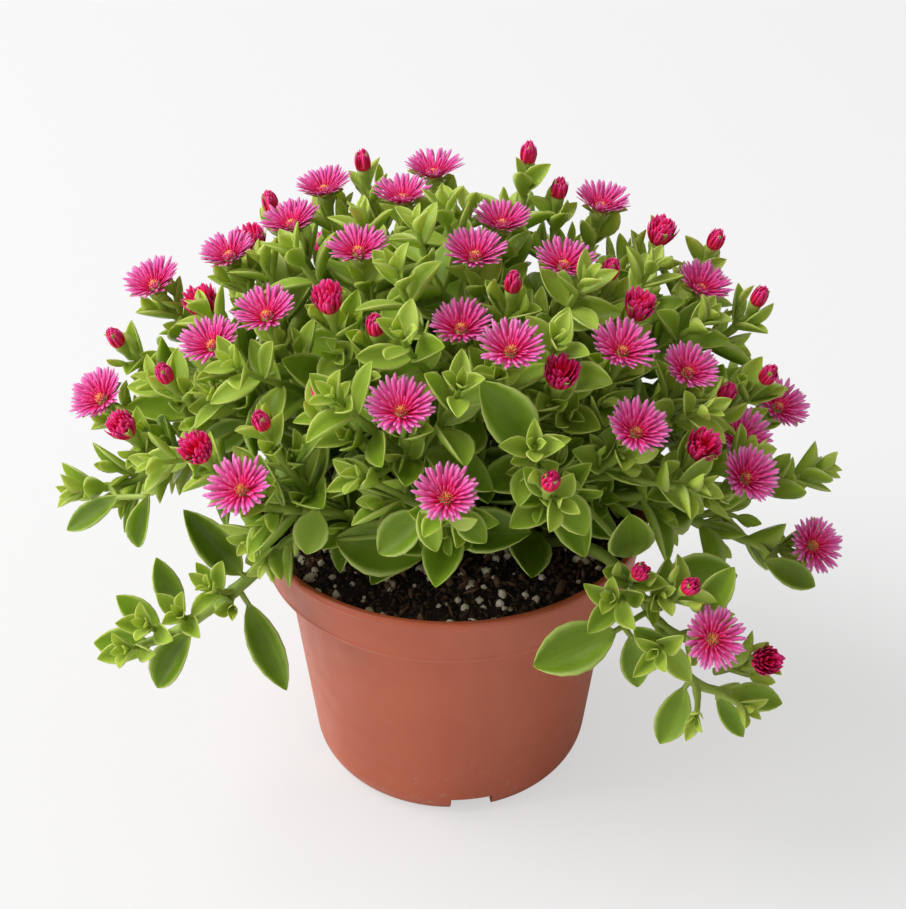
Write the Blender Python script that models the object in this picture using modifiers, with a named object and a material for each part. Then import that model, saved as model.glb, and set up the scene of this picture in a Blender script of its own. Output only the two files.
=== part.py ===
"""A flowering ice plant in a 12 cm nursery pot: the pot, its soil, the leafy shoots and the flowers.

Metres, +Z up. The origin is the centre of the pot's foot, on the surface it stands on. Azimuths are
measured from +X towards +Y, and the plant is seen from -Y.
"""

import math

import bmesh
import bpy
from mathutils import Quaternion, Vector
from mathutils.bvhtree import BVHTree

MM = 0.001
GAP = 0.3 * MM
UP = Vector((0.0, 0.0, 1.0))

# Pot
POT_HEIGHT = 90.0 * MM
RIM_RADIUS = 60.0 * MM
WALL = 1.6 * MM
LIP_DROP = 2.2 * MM
COLLAR_HEIGHT = 17.0 * MM
COLLAR_FOOT_RADIUS = 56.5 * MM
BODY_TOP_RADIUS = 51.0 * MM
CORNER_RADIUS = 12.0 * MM
CORNER_CENTRE = (31.3 * MM, 8.9 * MM)
FLOOR_UNDERSIDE = 5.5 * MM
FLOOR_TOP = 7.2 * MM
BODY_TAPER = 6.8
FOOT_WIDTH = 1.9 * MM
TURN_STEPS = 40
DRAIN_HOLES = 6
DRAIN_RADIUS = 3.5 * MM
DRAIN_CIRCLE = 26.0 * MM
NOTCHES = 4
NOTCH_AZIMUTH = -81.0
NOTCH_SIZE = (12.0 * MM, 13.0 * MM, 12.8 * MM)

# Soil
SOIL_EDGE_Z = 82.5 * MM
SOIL_CROWN_RISE = 6.0 * MM
SOIL_RIPPLE = 0.25 * MM
SOIL_STEPS = 32

# Shoots
CROWN = Vector((0.0, 0.0, 85.0 * MM))
STEM_FOOT_RADIUS = 1.7 * MM
STEM_TIP_RADIUS = 1.25 * MM
BRANCH_RADIUS = 1.15 * MM
STALK_RADIUS = 0.9 * MM
STEM_POINTS = 7
BLADE_WIDTH = 0.56
BLADE_THICKNESS = 0.11
LONG_BLADE = 20.0 * MM
BARE_FOOT = 9.0 * MM
CLEARANCE = 0.5 * MM
BRANCH_SHARES = (0.45, 0.36)

# Leaf pairs on each stem, as (distance from the tip, length, spread in degrees)
PAIRS = [(8.5 * MM, 13.0 * MM, 42.0), (19.0 * MM, 17.0 * MM, 54.0), (33.0 * MM, 21.0 * MM, 64.0),
         (49.0 * MM, 25.0 * MM, 70.0)]

# Heads turn up to the light, and leaves chosen by hand turn their faces to the side that is seen.
LIGHT_LEAN = (-0.65, 0.5)
LIGHT_HEIGHT = 0.9
SIDE_LEAN = 0.5
SHOWN_SIDE = Vector((0.0, -0.7, 0.72))
HEAD_LIFT = {"flower": 6.0 * MM, "tuft": 4.5 * MM, "bud": 3.0 * MM, "leaves": 0.0}

# Each shoot lists its heads as (x, y, z in mm, kind). The first one is the shoot's own end, and the others
# end side branches.
SHOOTS = {
    "shoot_01": [(-5, 56, 172, "flower"), (-14, 34, 175, "flower"), (-26, 50, 176, "bud")],
    "shoot_02": [(-38, 51, 169, "flower"), (-47, 33, 167, "flower"), (-54, 49, 163, "bud")],
    "shoot_03": [(-66, 32, 157, "flower"), (-60, 45, 152, "tuft")],
    "shoot_04": [(-26, 4, 174, "flower"), (-33, -20, 170, "tuft")],
    "shoot_05": [(-88, 25, 151, "flower"), (-98, 14, 137, "bud")],
    "shoot_06": [(-51, -16, 165, "flower"), (-20, -32, 169, "bud")],
    "shoot_07": [(-67, -14, 154, "flower"), (-72, 14, 149, "tuft"), (-80, -15, 143, "bud")],
    "shoot_08": [(-104, 6, 123, "flower"), (-93, -16, 126, "tuft"), (-108, -20, 108, "leaves")],
    "shoot_09": [(-56, -60, 137, "flower"), (-68, -45, 138, "tuft"), (-50, -49, 150, "bud")],
    "shoot_10": [(-13, -55, 159, "flower"), (-34, -47, 158, "bud")],
    "shoot_11": [(-1, -72, 143, "flower"), (-24, -58, 140, "leaves")],
    "shoot_12": [(3, -28, 168, "flower"), (16, -46, 172, "flower")],
    "shoot_13": [(7, -4, 177, "flower"), (17, -18, 174, "bud")],
    "shoot_14": [(15, 20, 174, "flower"), (23, 47, 180, "bud")],
    "shoot_15": [(32, -2, 173, "flower"), (45, 3, 166, "bud")],
    "shoot_16": [(45, 42, 168, "flower"), (32, 42, 171, "bud"), (62, 36, 160, "tuft")],
    "shoot_17": [(75, 28, 148, "flower"), (79, 40, 155, "bud"), (91, 24, 145, "bud")],
    "shoot_18": [(47, -30, 162, "flower"), (29, -45, 162, "tuft"), (52, -12, 163, "tuft")],
    "shoot_19": [(66, -25, 152, "flower"), (77, -20, 140, "bud")],
    "shoot_20": [(50, -50, 149, "flower"), (26, -68, 144, "bud"), (22, -62, 152, "leaves")],
    "shoot_21": [(82, -42, 128, "flower"), (68, -44, 138, "tuft"), (84, -14, 122, "flower")],
    "shoot_22": [(106, -28, 94, "flower"), (110, -4, 104, "leaves")],
    "shoot_23": [(99, 12, 116, "flower"), (91, -3, 135, "bud"), (93, 44, 104, "leaves")],
    "shoot_24": [(-40, 72, 136, "flower"), (-64, 58, 132, "bud"), (-84, 52, 106, "leaves")],
    "shoot_25": [(38, 74, 132, "flower"), (62, 60, 128, "bud"), (66, 72, 100, "leaves")],
    "shoot_26": [(2, 79, 112, "tuft"), (-34, 79, 99, "leaves")],
}

# The two trailing shoots hang over the rim, so their own points are chosen one by one, in mm.
TRAILING = {
    "shoot_27": {
        "stem": [(-30, -12, 87.6), (-30.5, -12.5, 91), (-36, -20, 94.5), (-44, -28, 95), (-51, -33, 94),
                 (-59, -38, 88.5), (-66, -41, 83.5), (-73, -43, 79), (-82, -44, 73), (-91, -45, 70)],
        "radii": (2.4, 1.4),
        "heads": [],
    },
    "shoot_28": {
        "stem": [(28, -22, 87.2), (28.5, -22.5, 90.5), (34, -29, 96), (43, -39, 99), (50, -49, 98),
                 (56, -58, 93), (61, -63, 86), (65, -66, 79), (70, -67, 74), (77, -67, 71.5)],
        "radii": (2.0, 1.3),
        "heads": [(0.42, (51, -66, 113), "bud"), (0.60, (71, -78, 100), "flower"),
                  (0.80, (87, -66, 82), "tuft"), (0.55, (64, -71, 112), "bud")],
    },
}

# Leaves chosen one by one, as (base, tip, breadth) in mm. A short stalk joins each base to its shoot.
PLACED = {
    "shoot_27": [((-60, -38.5, 91), (-76, -36, 112), 0.75), ((-58.5, -41, 83), (-48, -56, 62), 0.65),
                 ((-67, -40, 86), (-73, -38, 95), 0.8), ((-68, -40, 84), (-62, -46, 92), 0.8),
                 ((-78, -43, 79), (-84, -40, 99), 0.7), ((-75, -44, 75), (-87, -48, 57), 0.85),
                 ((-84, -43, 75), (-97, -40, 84), 0.9), ((-87, -45, 70), (-103, -48, 73), 1.1)],
    "shoot_28": [((46, -66, 93), (23, -71, 84), 1.05), ((50, -66, 92), (52, -71, 76), 0.9),
                 ((66, -67, 74), (60, -72, 56), 0.9), ((78, -67, 72), (94, -68, 68), 0.9),
                 ((75, -67, 70), (83, -70, 57), 0.7), ((58, -55, 103), (80, -52, 102), 0.95),
                 ((68, -66, 98), (78, -62, 112), 0.9)],
    "shoot_11": [((-33, -37, 103), (-8, -40, 97), 1.15), ((-6, -57, 127), (-20, -59, 115), 1.1),
                 ((1, -65, 133), (10, -70, 127), 1.2), ((-8, -62, 132), (-3, -68, 122), 1.0)],
    "shoot_20": [((21, -56, 147), (8, -53, 167), 1.05), ((29, -62, 138), (36, -69, 128), 1.2),
                 ((50, -52, 108), (48, -56, 126), 1.3)],
    "shoot_09": [((-37, -44, 119), (-40, -50, 107), 1.35)],
    "shoot_22": [((91, -30, 90), (107, -31, 80), 0.8)],
    "shoot_08": [((-95, -26, 110), (-112, -24, 96), 0.6), ((-86, -29, 113), (-92, -27, 92), 0.55)],
}

# Flower heads, as (share of the way up, radius in mm, height in mm)
HEAD_PROFILE = [(0.0, 0.0, 0.0), (0.1, 1.7, 0.9), (0.35, 3.2, 4.0), (0.65, 9.0, 7.2), (0.9, 3.0, 5.8),
                (1.0, 0.0, 5.0)]
HEAD_SEGMENTS = 10
ENDING_SIZES = {"bud": (2.3 * MM, 8.5 * MM), "tuft": (3.8 * MM, 10.0 * MM)}

# Colour, roughness
MATERIALS = {
    "terracotta_plastic": ((0.42, 0.11, 0.055), 0.45),
    "potting_soil": ((0.035, 0.022, 0.015), 0.95),
    "leaf_green": ((0.16, 0.29, 0.04), 0.35),
    "petal_magenta": ((0.74, 0.03, 0.24), 0.55),
}


def clear_scene():
    """Remove what the startup file holds."""
    for obj in list(bpy.data.objects):
        bpy.data.objects.remove(obj, do_unlink=True)


def new_collection(name, helper=False):
    """A collection under the scene's own, hidden from renders when it holds helpers."""
    made = bpy.data.collections.new(name)
    made.hide_render = helper
    bpy.context.scene.collection.children.link(made)
    return made


def new_material(name):
    """A Principled material from the table of colours."""
    colour, roughness = MATERIALS[name]
    made = bpy.data.materials.new(name)
    made.use_nodes = True
    shader = made.node_tree.nodes["Principled BSDF"]
    shader.inputs["Base Color"].default_value = (*colour, 1.0)
    shader.inputs["Roughness"].default_value = roughness
    shader.inputs["Metallic"].default_value = 0.0
    return made


def new_object(name, mesh, collection, material=None):
    """Link a mesh as an object, with its material."""
    made = bpy.data.objects.new(name, mesh)
    collection.objects.link(made)
    if material:
        mesh.materials.append(material)
    return made


def mesh_from(bm, name):
    """Turn a bmesh into a mesh, shaded smooth."""
    mesh = bpy.data.meshes.new(name)
    bm.to_mesh(mesh)
    bm.free()
    mesh.shade_smooth()
    return mesh


def as_helper(obj):
    """Show an operand of a Boolean as wire, and keep it out of renders."""
    obj.hide_render = True
    obj.display_type = "WIRE"
    return obj


def add_boolean(obj, operation, other):
    """An exact Boolean with one other object."""
    modifier = obj.modifiers.new(f"{operation.lower()}_{other.name}", "BOOLEAN")
    modifier.operation = operation
    modifier.solver = "EXACT"
    modifier.object = other


def polar(radius, azimuth, height=0.0):
    """A point at a distance from the pot's axis, at an azimuth in degrees."""
    angle = math.radians(azimuth)
    return Vector((radius * math.cos(angle), radius * math.sin(angle), height))


# Pot and soil


def corner_arc(radius, first, last, steps=5):
    """Points of the rounded lower corner, between two angles below the horizontal."""
    points = []
    for step in range(steps + 1):
        angle = -math.radians(first + (last - first) * step / steps)
        points.append((CORNER_CENTRE[0] + radius * math.cos(angle),
                       CORNER_CENTRE[1] + radius * math.sin(angle)))
    return points


def angle_at(radius, height):
    """How far below the horizontal the corner's arc reaches a height, in degrees."""
    return math.degrees(math.asin((CORNER_CENTRE[1] - height) / radius))


def pot_profile():
    """The pot's section from the axis inside, up and over the rim, and down its outer side."""
    inner_corner = CORNER_RADIUS - WALL
    shelf = POT_HEIGHT - COLLAR_HEIGHT
    inside = [(0.0, FLOOR_TOP)]
    inside += corner_arc(inner_corner, angle_at(inner_corner, FLOOR_TOP), BODY_TAPER, 1)
    inside += [
        (BODY_TOP_RADIUS - WALL, shelf + WALL),
        (COLLAR_FOOT_RADIUS - WALL, shelf + WALL),
        (RIM_RADIUS - 1.4 * WALL, POT_HEIGHT - 0.4 * WALL),
        (RIM_RADIUS - 1.1 * WALL, POT_HEIGHT),
    ]
    outside = [
        (RIM_RADIUS - 0.3 * WALL, POT_HEIGHT),
        (RIM_RADIUS, POT_HEIGHT - 0.4 * WALL),
        (RIM_RADIUS, POT_HEIGHT - LIP_DROP),
        (RIM_RADIUS - 0.5 * WALL, POT_HEIGHT - LIP_DROP - 0.4 * WALL),
        (COLLAR_FOOT_RADIUS, shelf),
        (BODY_TOP_RADIUS, shelf),
    ]
    outside += corner_arc(CORNER_RADIUS, BODY_TAPER, angle_at(CORNER_RADIUS, 0.0))
    foot_radius = outside[-1][0]
    outside += [
        (foot_radius - FOOT_WIDTH, 0.0),
        (foot_radius - FOOT_WIDTH - 0.2 * WALL, FLOOR_UNDERSIDE),
        (0.0, FLOOR_UNDERSIDE),
    ]
    return inside + outside


def turned(name, profile, steps, collection, material):
    """Turn a profile about Z with a Screw modifier."""
    bm = bmesh.new()
    points = [bm.verts.new((radius, 0.0, height)) for radius, height in profile]
    for first, second in zip(points, points[1:]):
        bm.edges.new((first, second))
    mesh = bpy.data.meshes.new(name)
    bm.to_mesh(mesh)
    bm.free()
    made = new_object(name, mesh, collection, material)
    screw = made.modifiers.new("turn", "SCREW")
    screw.axis = "Z"
    screw.steps = steps
    screw.render_steps = steps
    screw.use_merge_vertices = True
    screw.merge_threshold = 0.00005
    screw.use_smooth_shade = True
    return made


def foot_notch_cutters(helpers):
    """Boxes that cut the notches in the foot, so that water drains from under the pot."""
    length, width, height = NOTCH_SIZE
    cutters = []
    for index in range(NOTCHES):
        azimuth = NOTCH_AZIMUTH + 360.0 * index / NOTCHES
        bm = bmesh.new()
        bmesh.ops.create_cube(bm, size=1.0)
        bmesh.ops.scale(bm, vec=(length, width, height), verts=bm.verts)
        cutter = new_object(f"foot_notch_{index + 1}", mesh_from(bm, "foot_notch"), helpers)
        cutter.location = polar(CORNER_CENTRE[0] + 7.5 * MM, azimuth)
        cutter.rotation_euler = (0.0, 0.0, math.radians(azimuth))
        cutters.append(as_helper(cutter))
    return cutters


def drain_hole_cutters(helpers):
    """Cylinders that cut the drainage holes in the pot's floor."""
    cutters = []
    for index in range(DRAIN_HOLES):
        bm = bmesh.new()
        bmesh.ops.create_cone(bm, cap_ends=True, segments=16, radius1=DRAIN_RADIUS, radius2=DRAIN_RADIUS,
                              depth=10.0 * MM)
        cutter = new_object(f"drain_hole_{index + 1}", mesh_from(bm, "drain_hole"), helpers)
        azimuth = 20.0 + 360.0 * index / DRAIN_HOLES
        cutter.location = polar(DRAIN_CIRCLE, azimuth, 0.5 * (FLOOR_TOP + FLOOR_UNDERSIDE))
        cutters.append(as_helper(cutter))
    return cutters


def make_pot(parts, helpers):
    """The turned pot with its foot notches and drainage holes."""
    pot = turned("pot", pot_profile(), TURN_STEPS, parts, new_material("terracotta_plastic"))
    for cutter in foot_notch_cutters(helpers) + drain_hole_cutters(helpers):
        add_boolean(pot, "DIFFERENCE", cutter)
    return pot


def soil_edge_radius():
    """The collar's inside at the height of the soil's edge, less the gap."""
    shelf = POT_HEIGHT - COLLAR_HEIGHT + WALL
    share = (SOIL_EDGE_Z - shelf) / (POT_HEIGHT - shelf)
    foot = COLLAR_FOOT_RADIUS - WALL
    return foot + share * (RIM_RADIUS - 1.4 * WALL - foot) - 1.2 * GAP


def soil_height(radius, azimuth):
    """The soil's surface: a low mound with slight ripples that fade towards the axis and the edge."""
    share = min(radius / soil_edge_radius(), 1.0)
    angle = math.radians(azimuth)
    ripple = math.sin(5.0 * angle + 9.0 * share) + math.sin(3.0 * angle - 14.0 * share + 1.0)
    mound = SOIL_CROWN_RISE * (1.0 - share * share)
    return SOIL_EDGE_Z + mound + SOIL_RIPPLE * ripple * share * (1.0 - share) * 4.0


def soil_profile():
    """The soil's section: the mound from the axis to the edge, then down the inside of the pot."""
    edge = soil_edge_radius()
    shelf = POT_HEIGHT - COLLAR_HEIGHT + WALL + GAP
    inner_corner = CORNER_RADIUS - WALL - 1.2 * GAP
    mound = [(edge * ring / 5.0, soil_height(edge * ring / 5.0, 0.0)) for ring in range(6)]
    side = [
        (COLLAR_FOOT_RADIUS - WALL - 1.5 * GAP, shelf),
        (BODY_TOP_RADIUS - WALL - 1.5 * GAP, shelf),
    ]
    corner = corner_arc(inner_corner, BODY_TAPER, angle_at(inner_corner, FLOOR_TOP + GAP), 1)
    return mound + side + corner + [(0.0, FLOOR_TOP + GAP)]


def make_soil(parts):
    """The turned plug of soil, its top rippled."""
    soil = turned("soil", soil_profile(), SOIL_STEPS, parts, new_material("potting_soil"))
    mesh = bpy.data.meshes.new_from_object(soil.evaluated_get(bpy.context.evaluated_depsgraph_get()))
    for vert in mesh.vertices:
        if vert.co.z > SOIL_EDGE_Z - 0.5 * MM:
            radius = vert.co.xy.length
            vert.co.z = soil_height(radius, math.degrees(math.atan2(vert.co.y, vert.co.x)))
    bpy.data.objects.remove(soil)
    return new_object("soil", mesh, parts)


# Balls reshaped into leaf blades, buds and flower heads


def add_ball(bm, segments, rings, place):
    """Add a ball whose points go where `place` puts them, by share of the way along and turn about it."""
    made = bmesh.ops.create_uvsphere(bm, u_segments=segments, v_segments=rings, radius=1.0)["verts"]
    for vert in made:
        vert.co = place((1.0 + vert.co.z) / 2.0, math.atan2(vert.co.y, vert.co.x))


def interpolate(rows, share):
    """Radius and height from a profile's rows at a share of the way along it."""
    for (low, radius_a, height_a), (high, radius_b, height_b) in zip(rows, rows[1:]):
        if share <= high:
            mix = (share - low) / (high - low)
            return radius_a + mix * (radius_b - radius_a), height_a + mix * (height_b - height_a)
    return rows[-1][1], rows[-1][2]


def blade_place(leaf, swell=0.0):
    """Where a leaf blade's points go. `swell` makes it larger all round, to test its clearance."""
    base, along, face, length, breadth = leaf
    across = face.cross(along)
    half_width = 0.5 * BLADE_WIDTH * breadth * length + swell
    half_thickness = 0.5 * BLADE_THICKNESS * length + 0.4 * MM + swell

    def place(share, turn):
        outline = (4.0 * share * (1.0 - share)) ** 0.8
        rise = 0.10 * length * (share * share - 0.5 * share)
        lift = half_thickness * math.sin(turn) * outline ** 0.7 - rise
        return (base + along * (share * (length + swell)) + across * (half_width * outline * math.cos(turn))
                + face * lift)

    return place


def ending_place(tip, facing, size):
    """Where the points of a bud or a half-open tuft go, on the end of a stem."""
    radius, length = size
    side = facing.orthogonal().normalized()
    other = facing.cross(side)

    def place(share, turn):
        swell = radius * math.sin(math.pi * share ** 0.8)
        return (tip + facing * (length * share - 1.2 * MM)
                + side * (swell * math.cos(turn)) + other * (swell * math.sin(turn)))

    return place


def head_place(tip, facing):
    """Where an open flower head's points go: the cup below and the dish of petals above."""
    side = facing.orthogonal().normalized()
    other = facing.cross(side)

    def place(share, turn):
        radius, height = interpolate(HEAD_PROFILE, share)
        return (tip + facing * (height * MM)
                + side * (radius * MM * math.cos(turn)) + other * (radius * MM * math.sin(turn)))

    return place


# Where the shoots go


def bezier(points, share):
    """A point on a cubic curve from its four control points."""
    first, second, third, last = points
    rest = 1.0 - share
    return (first * rest ** 3 + second * (3.0 * rest * rest * share) + third * (3.0 * rest * share * share)
            + last * share ** 3)


def radial(head):
    """The direction from the crown to a head."""
    return (Vector(head[:3]) * MM - CROWN).normalized()


def head_facing(head):
    """A head faces out and up, the low ones more to the light in front; a leafy end only faces outwards."""
    outward = radial(head)
    if head[3] == "leaves":
        return Vector((outward.x, outward.y, max(outward.z, 0.2))).normalized()
    light = Vector((0.0, LIGHT_LEAN[0] + LIGHT_LEAN[1] * outward.z, LIGHT_HEIGHT))
    return (outward * SIDE_LEAN + light).normalized()


def tip_point(head):
    """The end of a head's stem, a little under the head's middle."""
    return Vector(head[:3]) * MM - head_facing(head) * HEAD_LIFT[head[3]]


def root_point(head):
    """Where a shoot leaves the soil: nearer the middle the more upright it is."""
    outward = radial(head)
    azimuth = math.degrees(math.atan2(outward.y, outward.x))
    radius = (7.0 + 29.0 * outward.xy.length ** 1.3) * MM
    return polar(radius, azimuth, soil_height(radius, azimuth) + 2.0 * GAP)


def stem_path(head):
    """A shoot's own stem, upright where it leaves the soil and ending as its head faces."""
    root = root_point(head)
    end = tip_point(head)
    span = (end - root).length
    outward = radial(head)
    start = root + UP * (2.5 * MM)
    rise = UP * (0.36 * span) + Vector((outward.x, outward.y, 0.0)).normalized() * (0.10 * span)
    control = (start, start + rise, end - head_facing(head) * (0.30 * span), end)
    return [root] + [bezier(control, step / (STEM_POINTS - 2)) for step in range(STEM_POINTS - 1)]


def path_at(path, share):
    """The point and the unit tangent a share of the way along a path."""
    lengths = [(b - a).length for a, b in zip(path, path[1:])]
    left = share * sum(lengths)
    for index, length in enumerate(lengths):
        if left <= length or index == len(lengths) - 1:
            along = (path[index + 1] - path[index]).normalized()
            return path[index] + along * min(left, length), along
        left -= length


def path_length(path):
    """A path's length."""
    return sum((b - a).length for a, b in zip(path, path[1:]))


def branch_path(parent, share, end, facing):
    """A side branch from inside its parent stem to its own tip."""
    start, along = path_at(parent, share)
    span = (end - start).length
    control = (start, start + along * (0.35 * span), end - facing * (0.35 * span), end)
    return [bezier(control, step / 5.0) for step in range(6)]


def pair_leaves(path, order, phase):
    """The two leaves of one pair, counted from the tip. Each pair is turned a quarter from the last."""
    distance, length, spread = PAIRS[order]
    total = path_length(path)
    if total - distance < BARE_FOOT:
        return []
    point, along = path_at(path, 1.0 - distance / total)
    side = Quaternion(along, phase + order * 0.5 * math.pi) @ along.orthogonal().normalized()
    angle = math.radians(spread)
    leaves = []
    for reach in (side, -side):
        leaf_along = (along * math.cos(angle) + reach * math.sin(angle)).normalized()
        face = (along * math.sin(angle) - reach * math.cos(angle)).normalized()
        leaves.append((point + reach * (0.4 * MM), leaf_along, face, length, 1.0))
    return leaves


def placed_leaf(row):
    """A leaf chosen by hand, its face turned to the side that is seen."""
    base, tip, breadth = row
    base, tip = Vector(base) * MM, Vector(tip) * MM
    along = (tip - base).normalized()
    face = (SHOWN_SIDE - along * SHOWN_SIDE.dot(along)).normalized()
    return base, along, face, (tip - base).length, breadth


def nearest_on(paths, point):
    """The nearest place to a point on any of some stems."""
    places = [path_at(path, step / 40.0)[0] for path, _ in paths for step in range(3, 40)]
    return min(places, key=lambda place: (place - point).length)


# How the shoots share the room above the pot


class Plant:
    """The stems, leaves and flower heads, with the room that each shoot has taken."""

    def __init__(self, fixed):
        graph = bpy.context.evaluated_depsgraph_get()
        self.taken = [(BVHTree.FromObject(obj, graph), obj.name) for obj in fixed]
        self.stems = {}
        self.leaves = {}
        self.heads = []
        self.endings = {}

    def is_clear(self, tree, own):
        """Whether a shape keeps clear of everything but what it may touch: its own stem, or its own shoot."""
        return not any(other.overlap(tree) for other, name in self.taken if not name.startswith(own))

    def take(self, tree, owner):
        """Book the room that a shape fills."""
        self.taken.append((tree, owner))

    def add_stem(self, shoot, path, radii):
        """Book a stem, and note it for its shoot."""
        key = f"{shoot}_stem_{len(self.stems.setdefault(shoot, []))}"
        self.stems[shoot].append((path, radii))
        self.leaves.setdefault(shoot, [])
        self.endings.setdefault(shoot, [])
        self.take(tube_tree(path, max(radii) + 0.1 * MM), key)
        return key

    def add_ending(self, shoot, tip, facing, ending):
        """Put a flower head, a bud or a tuft on a stem's end."""
        if ending == "flower":
            self.heads.append((tip + facing * GAP, facing))
            self.take(ball_tree(HEAD_SEGMENTS, 5, head_place(tip + facing * GAP, facing)), "head")
        elif ending in ENDING_SIZES:
            self.endings[shoot].append((tip, facing, ENDING_SIZES[ending]))
            self.take(ball_tree(6, 4, ending_place(tip, facing, ENDING_SIZES[ending])), "ending")

    def add_leaf(self, shoot, key, leaf):
        """Fit a leaf in the room that is left: turned a little, or smaller, or not at all."""
        base, along, face, length, breadth = leaf
        for scale in (1.0, 0.82, 0.64, 0.45):
            for tilt in (0.0, 14.0, -14.0):
                for swing in (0.0, 22.0, -22.0):
                    turn = (Quaternion(face, math.radians(swing))
                            @ Quaternion(face.cross(along), math.radians(tilt)))
                    fitted = (base, turn @ along, turn @ face, length * scale, breadth)
                    swollen = ball_tree(6, 4, blade_place(fitted, CLEARANCE))
                    if self.is_clear(swollen, key):
                        self.leaves[shoot].append(fitted)
                        self.take(ball_tree(4, 4, blade_place(fitted)), "blade")
                        return True
        return False


def ball_tree(segments, rings, place):
    """A search tree over one reshaped ball."""
    bm = bmesh.new()
    add_ball(bm, segments, rings, place)
    tree = BVHTree.FromBMesh(bm)
    bm.free()
    return tree


def tube_tree(path, radius):
    """A search tree over a row of short cones along a path."""
    bm = bmesh.new()
    for start, end in zip(path, path[1:]):
        made = bmesh.ops.create_cone(bm, cap_ends=True, segments=6, radius1=radius, radius2=radius,
                                     depth=(end - start).length)["verts"]
        turn = UP.rotation_difference(end - start)
        for vert in made:
            vert.co = turn @ vert.co + 0.5 * (start + end)
    tree = BVHTree.FromBMesh(bm)
    bm.free()
    return tree


def plan_stems(plant):
    """Lay out every stem and its ending. It gives back the lines that leaf pairs grow on."""
    lines = []
    for shoot, heads in SHOOTS.items():
        main = stem_path(heads[0])
        lines.append((shoot, plant.add_stem(shoot, main, (STEM_FOOT_RADIUS, STEM_TIP_RADIUS)), main))
        plant.add_ending(shoot, main[-1], head_facing(heads[0]), heads[0][3])
        for share, head in zip(BRANCH_SHARES, heads[1:]):
            lines.append(plan_branch(plant, shoot, main, share, head))
    for shoot, row in TRAILING.items():
        path = [Vector(point) * MM for point in row["stem"]]
        plant.add_stem(shoot, path, tuple(radius * MM for radius in row["radii"]))
        for share, end, ending in row["heads"]:
            lines.append(plan_branch(plant, shoot, path, share, (*end, ending)))
    return lines


def plan_branch(plant, shoot, parent, share, head):
    """Lay out one side branch and its ending."""
    branch = branch_path(parent, share, tip_point(head), head_facing(head))
    key = plant.add_stem(shoot, branch, (BRANCH_RADIUS, BRANCH_RADIUS))
    plant.add_ending(shoot, branch[-1], head_facing(head), head[3])
    return shoot, key, branch


def plan_placed_leaves(plant):
    """Fit the leaves chosen by hand, each with a stalk where its base stands off its shoot's stems."""
    for shoot, rows in PLACED.items():
        for row in rows:
            leaf = placed_leaf(row)
            foot = nearest_on(plant.stems[shoot], leaf[0])
            stalk = [foot, leaf[0] + leaf[1] * MM]
            if (foot - leaf[0]).length < 1.0 * MM:
                plant.add_leaf(shoot, f"{shoot}_stem", leaf)
            elif plant.is_clear(tube_tree(stalk, STALK_RADIUS + GAP), shoot):
                if plant.add_leaf(shoot, f"{shoot}_stem", leaf):
                    plant.stems[shoot].append((stalk, (STALK_RADIUS, STALK_RADIUS)))
                    plant.take(tube_tree(stalk, STALK_RADIUS), f"{shoot}_stalk")


def plan_plant(fixed):
    """Lay out every stem and its endings, and then the leaves, from the tips inwards."""
    plant = Plant(fixed)
    lines = plan_stems(plant)
    plan_placed_leaves(plant)
    for order in range(len(PAIRS)):
        for number, (shoot, key, path) in enumerate(lines):
            for leaf in pair_leaves(path, order, 0.9 * number):
                plant.add_leaf(shoot, key, leaf)
    return plant


# The shoots' solids


def tube_mesh(name, path, radii, collection):
    """A stem as a mesh, from a curve with a round bevel and filled caps."""
    curve = bpy.data.curves.new(name, "CURVE")
    curve.dimensions = "3D"
    curve.bevel_depth = 1.0
    curve.bevel_resolution = 0
    curve.use_fill_caps = True
    spline = curve.splines.new("POLY")
    spline.points.add(len(path) - 1)
    for index, (point, place) in enumerate(zip(spline.points, path)):
        point.co = (*place, 1.0)
        point.radius = radii[0] + (radii[1] - radii[0]) * index / (len(path) - 1)
    guide = bpy.data.objects.new(name, curve)
    collection.objects.link(guide)
    bpy.context.view_layer.update()
    mesh = bpy.data.meshes.new_from_object(guide.evaluated_get(bpy.context.evaluated_depsgraph_get()))
    bpy.data.objects.remove(guide)
    bm = bmesh.new()
    bm.from_mesh(mesh)
    bmesh.ops.remove_doubles(bm, verts=bm.verts, dist=0.00002)
    bm.to_mesh(mesh)
    bm.free()
    return mesh


def make_shoot(shoot, plant, parts, helpers, material):
    """One shoot: its stem joined with its branches, then with its leaves and buds."""
    paths = plant.stems[shoot]
    body = new_object(shoot, tube_mesh(shoot, *paths[0], helpers), parts, material)
    for number, (path, radii) in enumerate(paths[1:]):
        name = f"{shoot}_branch_{number + 1}"
        branch = new_object(name, tube_mesh(name, path, radii, helpers), helpers)
        add_boolean(body, "UNION", as_helper(branch))
    bm = bmesh.new()
    for leaf in plant.leaves[shoot]:
        add_ball(bm, 4, 3 if leaf[3] < LONG_BLADE else 4, blade_place(leaf))
    for ending in plant.endings[shoot]:
        add_ball(bm, 6, 4, ending_place(*ending))
    name = f"{shoot}_blades"
    add_boolean(body, "UNION", as_helper(new_object(name, mesh_from(bm, name), helpers)))
    return body


def make_flowers(plant, parts, material):
    """The open flower heads, each a cup with its dish of petals."""
    for number, (tip, facing) in enumerate(plant.heads):
        bm = bmesh.new()
        add_ball(bm, HEAD_SEGMENTS, 5, head_place(tip, facing))
        name = f"flower_{number + 1:02d}"
        new_object(name, mesh_from(bm, name), parts, material)


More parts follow.
